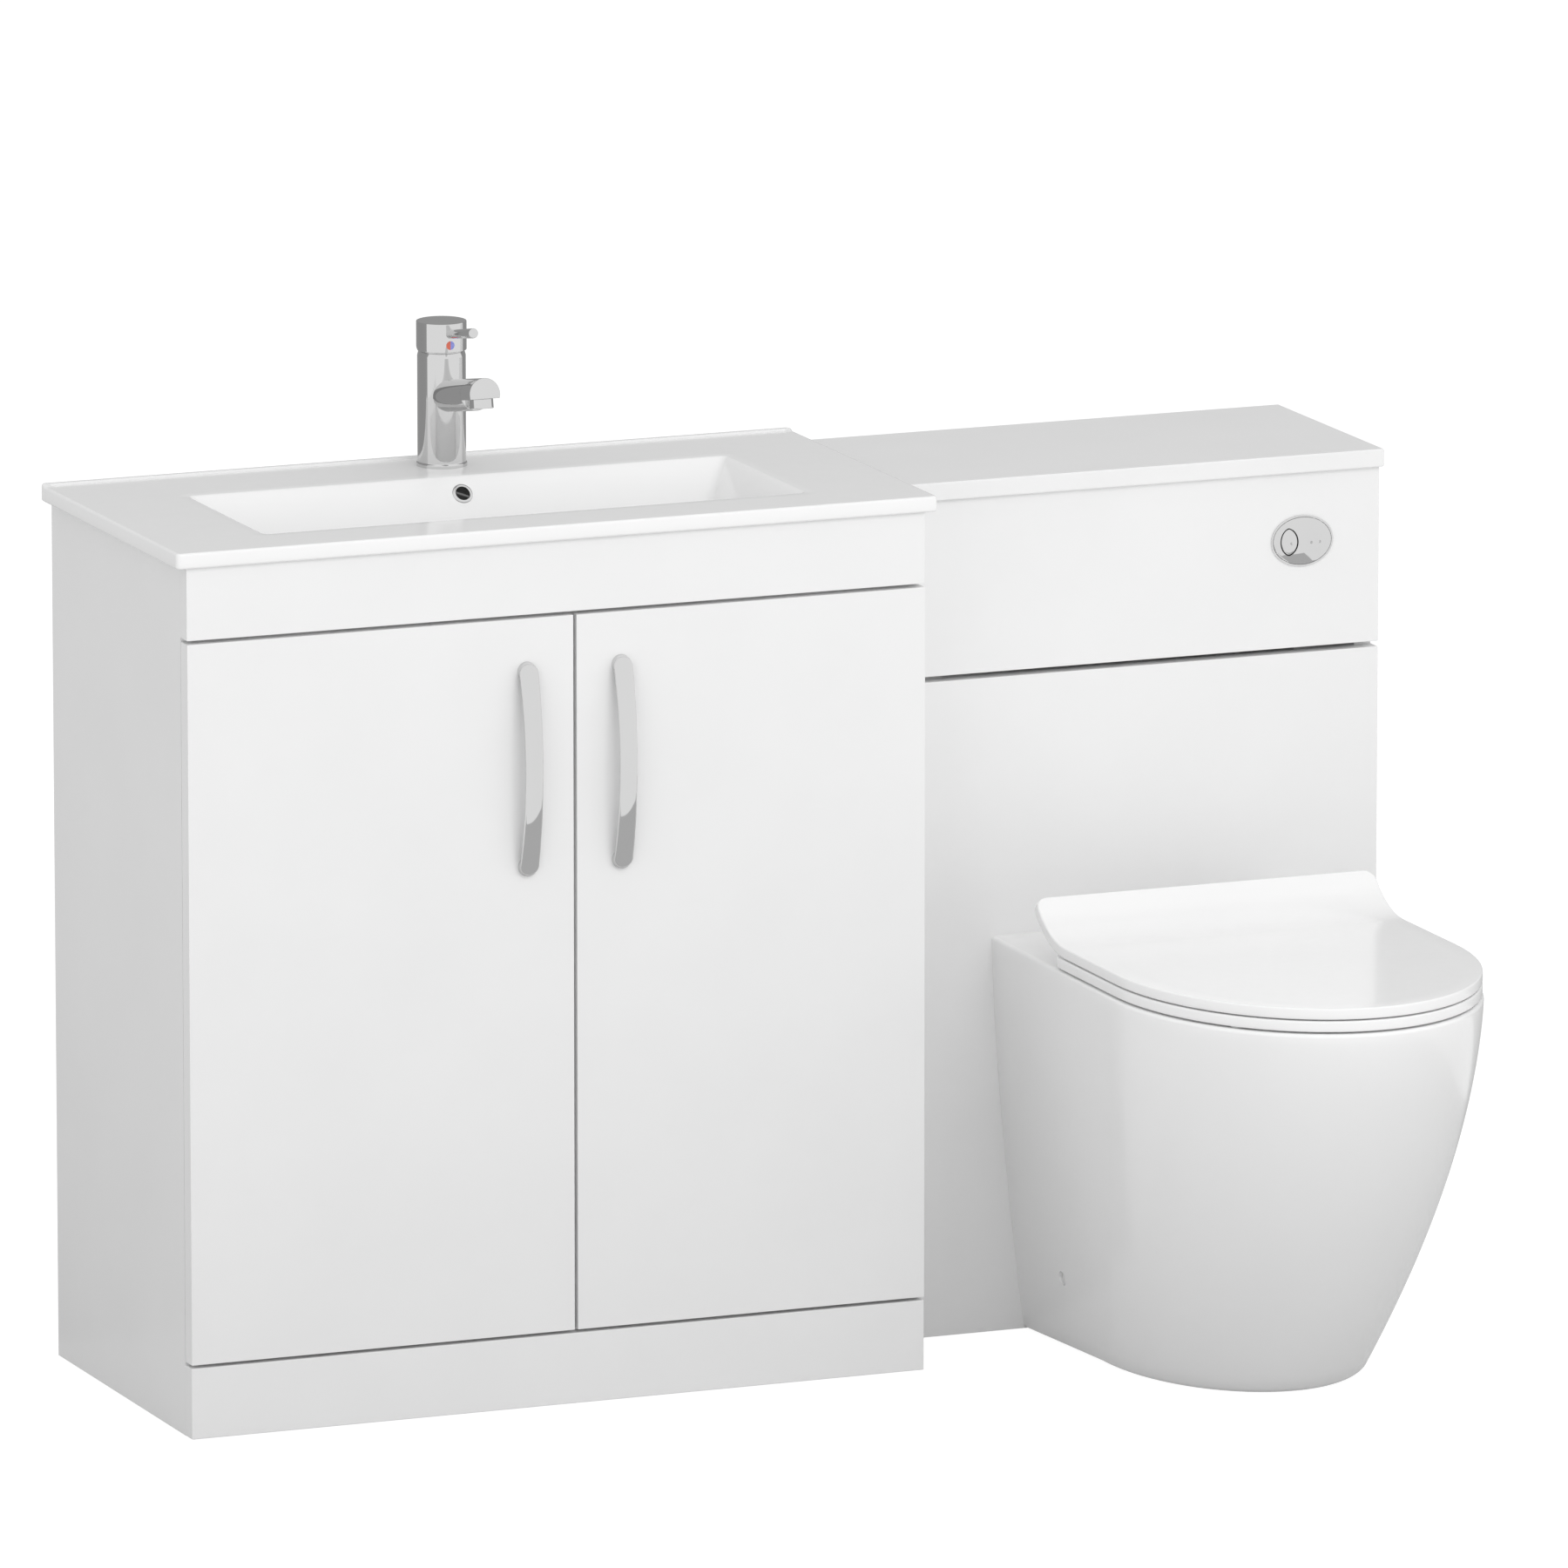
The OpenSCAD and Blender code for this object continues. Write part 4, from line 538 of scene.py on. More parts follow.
def basin_outside():
    """Loops from the foot of the waste hole over the bowl's underside to the slab's underside."""
    loops = [circle_loop(WASTE_HOLE_R, BOSS_Z), circle_loop(BOSS_R, BOSS_Z)]
    loops.append(circle_loop(BOSS_R, BOWL_FLOOR - BASIN_WALL))
    for k, angle in enumerate(range(90, 0, -12)):
        loops.append(bowl_loop(foot_depth(angle), BASIN_WALL, BASIN_WALL * (1 - k / 7)))
    loops.append(bowl_loop(RIM_TOP - SLAB_BOTTOM, BASIN_WALL))
    loops += [slab_loop(inset, SLAB_BOTTOM) for inset in (40, 10)]
    return loops


def basin_slab():
    """Loops round the slab's edge and over its top into the bowl's opening."""
    lower = arc((SLAB_ROUND, SLAB_ROUND), SLAB_ROUND, 270, 180, 5)
    loops = [slab_loop(inset, SLAB_BOTTOM + rise) for inset, rise in lower]
    for inset, rise in arc((SLAB_ROUND, -SLAB_ROUND), SLAB_ROUND, 180, 90, 5):
        loops.append(slab_loop(inset, lambda x, y, rise=rise: lip_top(x, y) + rise))
    loops += [slab_loop(inset, lip_top) for inset in (4, 6, 7.5, 8.5, 9.5, 10.5, 11.5, 13, 18, 30)]
    loops.append(opening_loop(14, 16, RIM_TOP))
    for out, drop in ((3.0, 0.0), (1.7, 0.15), (0.6, 0.6), (-0.3, 1.4)):
        loops.append(opening_loop(out, BOWL_CORNER_TOP + out, RIM_TOP - drop))
    return loops


def basin_inside():
    """Loops down the bowl and over its floor to the flat that carries the waste's flange."""
    loops = [bowl_loop(depth) for depth in (3, 8, 20, 35, 50, 65, 77)]
    loops += [bowl_loop(foot_depth(angle)) for angle in (15, 26, 38, 50, 62, 74, 84, 90)]
    r = FLANGE_R
    for radius, drop in ((r + 6, 0), (r + 1, 0), (r, 0.8), (r - 0.5, 2.5), (WASTE_HOLE_R, 2.5)):
        loops.append(circle_loop(radius, BOWL_FLOOR - drop))
    return loops


BACK_LEAN = wall_lean(BACK_RUN)
BACK_OUT = Vector((0, cos(BACK_LEAN), -sin(BACK_LEAN)))
OVERFLOW = Vector((BOWL_X, BOWL_BACK - OVERFLOW_DEPTH * tan(BACK_LEAN), RIM_TOP - OVERFLOW_DEPTH))


def add_basin():
    loops = basin_outside() + basin_slab() + basin_inside()
    basin = loft("basin_glaze", loops, "unit", "basin_ceramic", closed=True, angle=50)
    cut(basin,
        rod_tool("tap_hole_tool", (TAP_X, TAP_Y, SLAB_BOTTOM - 5), (TAP_X, TAP_Y, RIM_TOP + 5), TAP_HOLE_R),
        rod_tool("overflow_tool", OVERFLOW - BACK_OUT * 12, OVERFLOW + BACK_OUT * 8.5, OVERFLOW_HOLE_R))
    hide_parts("basin")


def add_overflow():
    """Chrome ring, the well behind it in near-black painted shade, and the thin bar that crosses it in dark
    grey, a painted reflection of the shaded well.
    """
    turn = turned_to(BACK_OUT)
    profile = [
        (7.1, 7.5), (7.1, -0.6), (7.3, -1.1), (7.9, -1.45), (8.8, -1.3), (9.7, -0.9), (10.2, -0.5),
        (10.4, 0.0), (7.9, 0.0), (7.9, 7.5)]
    rosette = revolve(
        "overflow_ring_chrome", profile, OVERFLOW, "unit", "chrome", turn=turn, count=72, closed=True,
        angle=50)
    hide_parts("overflow_ring")
    # The well is lined with painted shade.
    well = [(0.1, 8.2), (7.9, 8.2), (7.9, 4.0), (7.5, 4.0), (7.5, 7.6), (0.1, 7.6)]
    revolve("overflow_well", well, OVERFLOW, "unit", "grey_plastic", look=painted_shade_black, turn=turn, count=48)
    right = Vector((1, 0, 0))
    up = BACK_OUT.cross(right)
    across = right * cos(OVERFLOW_BAR_TILT) + up * sin(OVERFLOW_BAR_TILT)
    start = OVERFLOW + BACK_OUT * 2.2 - across * 7.2
    # The bar's dark grey is a painted reflection: it stands for the shade of the well that it mirrors.
    bar = [(0.9, 0), (1.2, 0.3), (1.2, 14.1), (0.9, 14.4)]
    revolve("overflow_bar", bar, start, "unit", "grey_plastic", turn=turned_to(across), count=20)


# ---- pan

PAN_X = middle("hinge_posts", X)
PAN_TOP = span("pan", Z)[1]
PAN_FRONT = span("pan", Y)[0]
PAN_HALF = half_size("pan", X)
PANEL_Y = span("lower_panel", Y)[0]
FOOT_HALF = 129.5
FOOT_LENGTH = 346.0
FOOT_SHOULDER = 159.0
TOP_SHOULDER = 309.0
TOP_LENGTH = PANEL_Y - PAN_FRONT
REAR_FOOT_HALF = 144.0
REAR_TOP_HALF = 179.5
SIDE_EASE = 1.84
REAR_EASE = 1.5
FRONT_EASE = 1.34
SHOULDER_EASE = 1.9
REAR_STEPS = 16
PAN_SIDE_STEPS = 18
PAN_FOOT_ROUND = 6.0
PAN_RIM_ROUND = 4.0
PAN_LEVELS = 34

OPEN_HALF_X = 132.0
OPEN_HALF_Y = 159.0
BOWL_LIP = 46.0
EDGE_DROP = 7
BOWL_LEVELS = 14
BOWL_EASE = 0.55
PAN_BOWL_MID = PAN_FRONT + BOWL_LIP + OPEN_HALF_Y
PAN_BOWL_REAR = PAN_BOWL_MID + OPEN_HALF_Y
SUMP_Z = 90.0
SUMP_MID = PAN_BOWL_MID + 36
SUMP_HALF_X = 40
SUMP_HALF_Y = 48
THROAT_R = 26
THROAT_Z = SUMP_Z + 24
PORT_R = 15
PORT_Z = 333
SCREW_Z = 75.0
SCREW_HOLE_R = 7.2
SCREW_HOLE_DEPTH = 3.5


def pan_loop(z, inset=0.0):
    """Outline of the pan at height z, from its rear right corner by the rear edge, left side and front."""
    t = z / PAN_TOP
    half = mix(FOOT_HALF, PAN_HALF, ease(t, SIDE_EASE)) - inset
    rear = mix(REAR_FOOT_HALF, REAR_TOP_HALF, ease(t, REAR_EASE)) - inset
    front = PANEL_Y - mix(FOOT_LENGTH, TOP_LENGTH, ease(t, FRONT_EASE)) + inset
    shoulder = PANEL_Y - mix(FOOT_SHOULDER, TOP_SHOULDER, ease(t, SHOULDER_EASE))
    flat = [(mix(rear, -rear, s), PANEL_Y) for s in shares(REAR_STEPS)]
    flat += [(-mix(rear, half, s), mix(PANEL_Y, shoulder, s)) for s in shares(PAN_SIDE_STEPS)]
    flat += oval_front(half, shoulder, front)
    flat += [(mix(half, rear, s), mix(shoulder, PANEL_Y, s)) for s in shares(PAN_SIDE_STEPS)[1:]]
    return [(PAN_X + x, y, z) for x, y in flat]


def pan_bowl_loop(outer, z, grow=0.0):
    """Oval of the bowl at height z, with a point for each point of the outer loop."""
    s = max((z - SUMP_Z) / (PAN_TOP - SUMP_Z), 0) ** BOWL_EASE
    a = mix(SUMP_HALF_X, OPEN_HALF_X, s) + grow
    b = mix(SUMP_HALF_Y, OPEN_HALF_Y, s) + grow
    y = mix(SUMP_MID, PAN_BOWL_MID, s)
    loop = []
    for px, py, _ in outer:
        q = atan2((py - PAN_BOWL_MID) / OPEN_HALF_Y, (px - PAN_X) / OPEN_HALF_X)
        loop.append((PAN_X + a * cos(q), y + b * sin(q), z))
    return loop


def pan_outside():
    """Loops up the pan's skirt, from the floor over its rounded rim."""
    foot, rim = PAN_FOOT_ROUND, PAN_RIM_ROUND
    loops = [pan_loop(z, inset) for inset, z in arc((foot, foot), foot, 270, 190, 4)]
    loops += [pan_loop(mix(foot, PAN_TOP - rim, s)) for s in shares(PAN_LEVELS)[1:]]
    loops += [pan_loop(z, inset) for inset, z in arc((rim, PAN_TOP - rim), rim, 180, 90, 6)]
    return loops


def pan_inside(top):
    """Loops from the deck's inner edge down the bowl to its sump."""
    loops = []
    for grow, drop in ((14, 0), (9, 0), (6.5, 0.2), (4, 0.9), (2, 2.2), (0.6, 4.2)):
        loops.append([(x, y, PAN_TOP - drop) for x, y, _ in pan_bowl_loop(top, PAN_TOP, grow)])
    for k in range(BOWL_LEVELS + 1):
        loops.append(pan_bowl_loop(top, mix(PAN_TOP - EDGE_DROP, SUMP_Z + 4, (k / BOWL_LEVELS) ** 0.8)))
    loops.append(pan_bowl_loop(top, SUMP_Z, -14))
    return loops


def add_pan():
    """The pan with its side screws' holes, the outlet of its sump and the port of its flush pipe."""
    loops = pan_outside()
    loops += pan_inside(loops[-1])
    pan = loft("pan_glaze", loops, "unit", "pan_ceramic", angle=60)
    left, right = span("pan_fixings", X)
    y = middle("pan_fixings", Y)
    left_in = left + SCREW_HOLE_DEPTH
    right_in = right - SCREW_HOLE_DEPTH
    cut(pan,
        rod_tool("left_hole", (left - 60, y, SCREW_Z), (left_in, y, SCREW_Z), SCREW_HOLE_R),
        rod_tool("right_hole", (right_in, y, SCREW_Z), (right + 60, y, SCREW_Z), SCREW_HOLE_R),
        rod_tool("throat", (PAN_X, SUMP_MID, THROAT_Z), (PAN_X, PAN_BOWL_REAR + 10, THROAT_Z), THROAT_R),
        rod_tool("port", (PAN_X, PAN_BOWL_REAR - 30, PORT_Z), (PAN_X, 60, PORT_Z), PORT_R))
    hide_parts("pan")
    cover = [(0.1, 0), (6.6, 0), (6.6, 0.8), (6.0, 1.3), (3.5, 1.7), (0.1, 1.8)]
    for word, x, side in (("left", left, -1), ("right", right, 1)):
        out = turned_to((side, 0, 0))
        revolve(f"screw_cover_{word}", cover, (x, y, SCREW_Z), "unit", "white_plastic", turn=out, count=40)


# ---- seat and lid

SEAT_HALF = half_size("lid", X)
SEAT_FRONT = span("lid", Y)[0]
SEAT_REAR = PANEL_Y - 150
SEAT_CORNER = 20
SEAT_RING = 47
SEAT_RING_REAR = 42
SEAT_Z = PAN_TOP + 2.0
SEAT_T = 10.7
LID_Z = SEAT_Z + SEAT_T + 1.5
LID_T = 11.0
LID_CORNER = 12.0
CURL_R = 94.0
CURL_ANGLE = 51.6
CURL_Y = PANEL_Y - 112 - CURL_R * sin(radians(CURL_ANGLE))
EDGE_ROUND = 1.8
SEAT_SIDE_STEPS = 16
HINGE_Y = PANEL_Y - 113
HINGE_Z = PAN_TOP + 17
HUB_R = 8.0
HUB = arc((HINGE_Y, HINGE_Z), HUB_R, 60, -130, 18)


def seat_outline(rear, corner, inset=0.0):
    """Outline from above, from the right end of the rear edge by the left side and the oval front."""
    half = SEAT_HALF - inset
    shoulder = PANEL_Y - TOP_SHOULDER
    front = SEAT_FRONT + inset
    back = rear - inset
    corner = max(corner - inset, 0.5)
    loop = [(mix(half - corner, -half + corner, s), back) for s in shares(REAR_STEPS)]
    loop += arc((-half + corner, back - corner), corner, 90, 180, CORNER_STEPS)[:-1]
    loop += [(-half, mix(back - corner, shoulder, s)) for s in shares(SEAT_SIDE_STEPS)]
    loop += oval_front(half, shoulder, front)
    loop += [(half, mix(shoulder, back - corner, s)) for s in shares(SEAT_SIDE_STEPS)[1:]]
    return loop + arc((half - corner, back - corner), corner, 0, 90, CORNER_STEPS)[:-1]


def plate_profile(thickness, edge, steps=5):
    """(inset, height) round the edge of a plate with rounded edges, from its underside to its top."""
    return arc((edge, edge), edge, 270, 180, steps) + arc((edge, thickness - edge), edge, 180, 90, steps)


def under_curl(step):
    """A point just inside the lid's underside, a step behind the start of its turned-up rear."""
    radius = CURL_R + LID_T - 0.3
    return CURL_Y + step, LID_Z + LID_T + CURL_R - sqrt(radius ** 2 - step ** 2)


def add_ear(name, side, x0, x1, outline, body):
    """Hinge arm in one piece with its plate: a flat web that ends in a round hub on the hinge axis."""
    middle_y = sum(p[0] for p in outline) / len(outline)
    middle_z = sum(p[1] for p in outline) / len(outline)
    loops = []
    for x, size in (
            (x0, 0.96), (x0 + 0.8, 0.99), (x0 + 1.6, 1.0), (x1 - 1.6, 1.0), (x1 - 0.8, 0.99), (x1, 0.96)):
        loops.append([(PAN_X + side * x, mix(middle_y, y, size), mix(middle_z, z, size)) for y, z in outline])
    loft(f"{name}_{'left' if side < 0 else 'right'}", loops, body, "seat_plastic", angle=40)


def lid_point(x, s, n):
    """A point of the lid, x across, s along its underside and n above it; its rear turns up in an arc."""
    if s <= CURL_Y:
        return PAN_X + x, s, LID_Z + n
    q = (s - CURL_Y) / CURL_R
    radius = CURL_R + LID_T - n
    return PAN_X + x, CURL_Y + radius * sin(q), LID_Z + LID_T + CURL_R - radius * cos(q)


def add_lid():
    rear = CURL_Y + CURL_R * radians(CURL_ANGLE)
    inner = seat_outline(rear, LID_CORNER, 4)
    faces = [drawn_in(inner, share, SEAT_FRONT + 170, CURL_Y - 10)
             for share in (0.97, 0.9, 0.8, 0.7, 0.6, 0.5, 0.4, 0.3, 0.2, 0.1)]
    loops = [[lid_point(x, s, 0) for x, s in outline] for outline in faces]
    for inset, n in plate_profile(LID_T, EDGE_ROUND):
        loops.append([lid_point(x, s, n) for x, s in seat_outline(rear, LID_CORNER, inset)])
    loops += [[lid_point(x, s, LID_T) for x, s in outline] for outline in reversed(faces)]
    lid = loft("lid_gloss", loops, "lid", "seat_plastic", angle=60)
    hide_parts("lid")
    ear = [under_curl(12), under_curl(24), under_curl(38), (HINGE_Y + 5, HINGE_Z + 5)]
    ear += HUB
    ear += [(SEAT_REAR + 4, LID_Z + 0.4), (CURL_Y + 12, LID_Z + 0.4)]
    buffer = [(0.1, 0), (4.5, 0), (5.5, -0.4), (5.5, -0.9), (5.0, -1.2), (0.1, -1.2)]
    for side, letter in ((-1, "l"), (1, "r")):
        add_ear("lid_ear", side, 91, 104, ear, "lid")
        for word, x, y in (("front", 88, SEAT_FRONT + 60), ("rear", 150, SEAT_REAR - 70)):
            place = (PAN_X + side * x, y, LID_Z)
            revolve(f"lid_buffer_{letter}_{word}", buffer, place, "lid", "clear_rubber", count=32)


def add_seat():
    front = SEAT_FRONT + SEAT_RING
    rear = SEAT_REAR - SEAT_RING_REAR
    half = SEAT_HALF - SEAT_RING
    mid = (front + rear) / 2 + 10
    outer = seat_outline(SEAT_REAR, SEAT_CORNER)

    def hole(grow, height):
        """Oval opening of the ring, blunter at its rear."""
        loop = []
        for x, y in outer:
            q = atan2((y - mid) / ((rear - front) / 2), x / half)
            s = sin(q)
            reach = (rear - mid + grow) * s ** 0.9 if s > 0 else (mid - front + grow) * s
            loop.append((PAN_X + (half + grow) * cos(q), mid + reach, SEAT_Z + height))
        return loop

    loops = []
    for inset, n in plate_profile(SEAT_T, EDGE_ROUND):
        loops.append([(PAN_X + x, y, SEAT_Z + n) for x, y in seat_outline(SEAT_REAR, SEAT_CORNER, inset)])
    top = SEAT_T
    for grow, n in (
            (30, top), (14, top), (7, top - 0.5), (3, top - 1.8), (0.8, top - 4), (0, top / 2), (0.8, 2.5),
            (3, 0.8), (6, 0), (14, 0)):
        loops.append(hole(grow, n))
    seat = loft("seat_gloss_ring", loops, "seat", "seat_plastic", closed=True, angle=60)
    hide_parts("seat")
    ear = [(SEAT_REAR - 14, SEAT_Z + SEAT_T - 0.3), (SEAT_REAR + 4, SEAT_Z + SEAT_T + 1.5)]
    ear += [(HINGE_Y - 12, HINGE_Z + 6), (HINGE_Y, HINGE_Z + HUB_R)]
    ear += HUB
    ear += [(SEAT_REAR + 6, SEAT_Z + 1), (SEAT_REAR - 14, SEAT_Z + 1)]
    for side in (-1, 1):
        add_ear("seat_ear", side, 51, 64, ear, "seat")


# ---- handles

HANDLE_PITCH = 192.0
HANDLE_RISE = 14.0
HANDLE_R = ((HANDLE_PITCH / 2) ** 2 + HANDLE_RISE ** 2) / (2 * HANDLE_RISE)
STRAP_T = 5.0
STRAP_ROUND = 1.6
STRAP_CROWN = 1.3
STRAP_WAIST = 0.7
STRAP_EXTRA = 0.6
STRAP_END_STEPS = 20
STRAP_SIDE_STEPS = 24


def strap_outline(half_w, half_l, inset):
    """Outline of a strap from its face: two round ends, and sides that are a little waisted."""
    loop = []
    for end, start in ((1, -90), (-1, 90)):
        for i in range(STRAP_END_STEPS + 1):
            q = radians(mix(start, start + 180, i / STRAP_END_STEPS))
            loop.append((-(half_w - inset) * sin(q), end * half_l + (half_w - inset) * cos(q)))
        for i in range(1, STRAP_SIDE_STEPS):
            s = mix(end * half_l, -end * half_l, i / STRAP_SIDE_STEPS)
            waist = half_w - STRAP_WAIST + STRAP_WAIST * (s / half_l) ** 2
            loop.append((-end * (waist - inset), s))
    return loop


def add_handle(side, node, body):
    """Bowed strap with rounded edges and a crowned face, its two posts, and their screws inside the door."""
    x = middle(node, X)
    z_mid = middle(node, Z)
    half_w = half_size(node, X)
    half_l = half_size(node, Z) - half_w + STRAP_EXTRA
    bow_y = HANDLE_R + span(node, Y)[0]

    def bend(u, s, n):
        past = s - clamp(s, -half_l, half_l)
        q = s / HANDLE_R
        r = HANDLE_R - n - STRAP_CROWN * (u * u + past * past) / half_w ** 2 * (1 - n / STRAP_T)
        return x + u, bow_y - r * cos(q), z_mid + r * sin(q)

    loops = []
    inner = strap_outline(half_w, half_l, STRAP_ROUND)
    for share in (1.0, 0.5):
        loops.append([bend(u, s, STRAP_T) for u, s in drawn_in(inner, share, -half_l, half_l)])
    for inset, n in plate_profile(STRAP_T, STRAP_ROUND, 4):
        loops.append([bend(u, s, STRAP_T - n) for u, s in strap_outline(half_w, half_l, inset)])
    for share in (0.1, 0.25, 0.4, 0.55, 0.7, 0.85, 1.0):
        loops.append([bend(u, s, 0) for u, s in drawn_in(inner, share, -half_l, half_l)])
    strap = loft(f"bow_{side}", loops, body, "chrome", caps=False, angle=60)
    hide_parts(node)
    screw = [(0.1, 1.2), (1.2, 1.2), (1.9, 2.1), (3.6, 1.9), (4.2, 1.2), (4.4, 0.2), (4.4, 0), (0.1, 0)]
    door_back = span("door_left", Y)[1]
    for end, word in ((1, "top"), (-1, "bottom")):
        z = z_mid + end * HANDLE_PITCH / 2
        rings = [ellipse_loop(x, -out, z, r, r, 64)
                 for r, out in ((9.5, 0), (9.6, 0.5), (9.2, 1.4), (8.9, 2.2), (8.9, 3.0))]
        core = HANDLE_R - STRAP_T / 2
        rings.append([(u, bow_y - sqrt(core ** 2 - (v - z_mid) ** 2), v) for u, _, v in rings[-1]])
        loft(f"post_{side}_{word}", rings, body, "chrome", angle=40)
        revolve(
            f"handle_screw_{side}_{word}", screw, (x, door_back, z), body, "steel", turn=BACKWARD, count=40)


# ---- tap

TAP_BODY_R = 23.8
TAP_BASE_R = 25.0
TAP_BORE_R = 17.0
TAP_BEVEL = 1.2
TAP_BEVEL_HEIGHT = 4.5
CAP_R = 24.7
CAP_WALL = 3
CAP_RELIEF = radians(24)
SPOUT_R = 15.8
SPOUT_RISE = radians(10.5)
SPOUT_ROOT = 68.4
SPOUT_ROUND = 0.6
NOSE_LENGTH = 25.0
NOSE_DROP = 4.6
AERATOR_R = 11.9
AERATOR_HEIGHT = 9.5
MESH_DEPTH = 3.2
MESH_STEP = 2.6
LEVER_RISE = radians(10.3)
LEVER_LENGTH = 63.2
LEVER_DROP = 9.7
DOT_R = 4.3
DOT_RISE = 7.4


def add_tap_column():
    bore, base, body = TAP_BORE_R, TAP_BASE_R, TAP_BODY_R
    height = span("tap_cartridge", Z)[1] - RIM_TOP
    shoulder = height - TAP_BEVEL_HEIGHT
    neck = body - TAP_BEVEL
    profile = [
        (bore, -13.5), (bore, 0), (base, 0), (base, 2.6), (base, 2.9), (base - 0.3, 3.6), (body + 0.2, 4.0),
        (body, 4.3), (body, 4.7)]
    profile += [(body, shoulder * t) for t in (0.25, 0.5, 0.75)]
    profile += [
        (body, shoulder - 0.6), (body, shoulder - 0.3), (body - 0.06, shoulder + 0.2),
        (neck + 0.08, height - 0.4), (neck - 0.3, height), (neck - 0.6, height), (neck - 0.6, height + 0.7),
        (bore, height + 0.7), (bore, height - 30)]
    column = revolve("tap_column", profile, (TAP_X, TAP_Y, RIM_TOP), "unit", "chrome", count=128, angle=40)
    bores = []
    for i, (dx, dy, radius) in enumerate(((-7.5, -5.5, 4.5), (7.5, -5.5, 4.5), (0, 9, 3.9))):
        x, y = TAP_X + dx, TAP_Y + dy
        bores.append(rod_tool(f"inlet_tool_{i}", (x, y, RIM_TOP - 20), (x, y, RIM_TOP - 0.5), radius))
    cut(column, *bores)
    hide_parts("tap_body")


def add_spout():
    """Round spout, cut flat under its nose, with the aerator screwed up into the flat."""
    origin = Vector((TAP_X, TAP_Y, RIM_TOP + SPOUT_ROOT))
    ahead = Vector((0, -cos(SPOUT_RISE), sin(SPOUT_RISE)))
    above = Vector((0, sin(SPOUT_RISE), cos(SPOUT_RISE)))
    reach = TAP_Y - span("tap_body", Y)[0]
    end = (reach - NOSE_DROP * sin(SPOUT_RISE)) / cos(SPOUT_RISE)
    root = TAP_BODY_R - 8
    step = end - NOSE_LENGTH

    def place(across, along, over):
        return tuple(origin + Vector((across, 0, 0)) + ahead * along + above * over)

    def round_section(inset, along):
        return [place(x, along, z) for x, z in circle(SPOUT_R - inset, 96)]

    def nose_section(inset, along, lift):
        r = SPOUT_R - inset
        low_q = asin((lift - NOSE_DROP) / r)
        crown = [mix(low_q, pi - low_q, i / 72) for i in range(73)]
        flat = [mix(-1, 1, i / 24) * r * cos(low_q) for i in range(1, 24)]
        section = [place(r * cos(q), along, r * sin(q)) for q in crown]
        return section + [place(x, along, lift - NOSE_DROP) for x in flat]

    barrel = [
        (0, root), (0, mix(root, step, 0.5)), (0, step - 2 * SPOUT_ROUND), (0, step - SPOUT_ROUND),
        (0.2, step - 0.2), (SPOUT_ROUND, step)]
    loft("spout_barrel", [round_section(*section) for section in barrel], "unit", "chrome", angle=60)
    nose = [
        (0, step - 4, 0.0), (0, mix(step, end, 0.5), 0.0), (0, end - 2 * SPOUT_ROUND, 0.0),
        (0, end - SPOUT_ROUND, 0.0), (0.2, end - 0.2, 0.1), (SPOUT_ROUND, end, 0.5)]
    loft("spout_nose", [nose_section(*section) for section in nose], "unit", "chrome", angle=40)
    seat = place(0, end - AERATOR_R - 0.5, -NOSE_DROP)
    add_aerator(seat, Matrix((Vector((1, 0, 0)), -ahead, above)).transposed())


def add_aerator(seat, turn):
    r, end = AERATOR_R, -AERATOR_HEIGHT
    shell = [
        (r - 3, 5), (r - 3, 0), (r - 0.3, 0), (r, -0.3), (r, -0.7), (r, end + 1.3), (r, end + 0.9),
        (r - 0.2, end + 0.3), (r - 0.7, end), (r - 1.5, end), (r - 1.6, -MESH_DEPTH), (0.1, -MESH_DEPTH)]
    aerator = revolve("aerator_shell", shell, seat, "unit", "chrome", turn=turn, angle=40)
    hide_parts("tap_aerator")
    for i in range(1, 4):
        inner = MESH_STEP * i - 0.5
        outer = MESH_STEP * i + 0.5
        wire = [(inner, -MESH_DEPTH), (inner, -4.0), (outer, -4.0), (outer, -MESH_DEPTH)]
        revolve(f"aerator_mesh_{i}", wire, seat, "unit", "grey_plastic", turn=turn, count=48)


def add_cap():
    """Hollow cap, cut away below at its rear so that it can tilt, with its pin lever and two-coloured dot."""
    cap_low, cap_top = span("tap_cap", Z)
    tall = cap_top - cap_low
    roof = span("tap_spindle", Z)[1] - cap_low - CAP_WALL
    r = CAP_R
    profile = [
        (0.1, roof), (r - CAP_WALL, roof), (r - CAP_WALL, 0), (r - 0.4, 0), (r - 0.1, 0.1), (r, 0.4),
        (r, 0.7)]
    profile += [(r, tall * t) for t in (0.25, 0.5, 0.75)]
    profile += [
        (r, tall - 0.9), (r, tall - 0.6), (r - 0.18, tall - 0.18), (r - 0.6, tall), (r - 0.9, tall),
        (0.1, tall)]
    cap = revolve("cap_chrome", profile, (TAP_X, TAP_Y, cap_low), "tap_handle", "chrome", count=128, angle=40)
    back, rise = 2 * r * cos(CAP_RELIEF), 2 * r * sin(CAP_RELIEF)
    side = ((0, 0), (back, rise), (back, -20), (0, -20))
    wedge = [[(TAP_X + x, TAP_Y + y, cap_low + z) for y, z in side] for x in (-r - 2, r + 2)]
    cut(cap, tool("relief", wedge))
    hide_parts("tap_cap")
    tip = LEVER_LENGTH
    lever = [
        (0.1, -3), (4.4, -3), (4.4, 0), (4.9, tip - 1.3), (4.9, tip - 0.9), (4.8, tip - 0.3), (4.4, tip),
        (0.1, tip)]
    turn = turned_to((0, -cos(LEVER_RISE), sin(LEVER_RISE)))
    start = (TAP_X, TAP_Y - CAP_R, cap_top - LEVER_DROP)
    pin = revolve("lever_pin", lever, start, "tap_handle", "chrome", turn=turn, count=64, angle=50)
    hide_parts("tap_lever")
    add_dot("dot_hot", cap_low + DOT_RISE, 90, 270, hot_red)
    add_dot("dot_cold", cap_low + DOT_RISE, -90, 90, cold_blue)


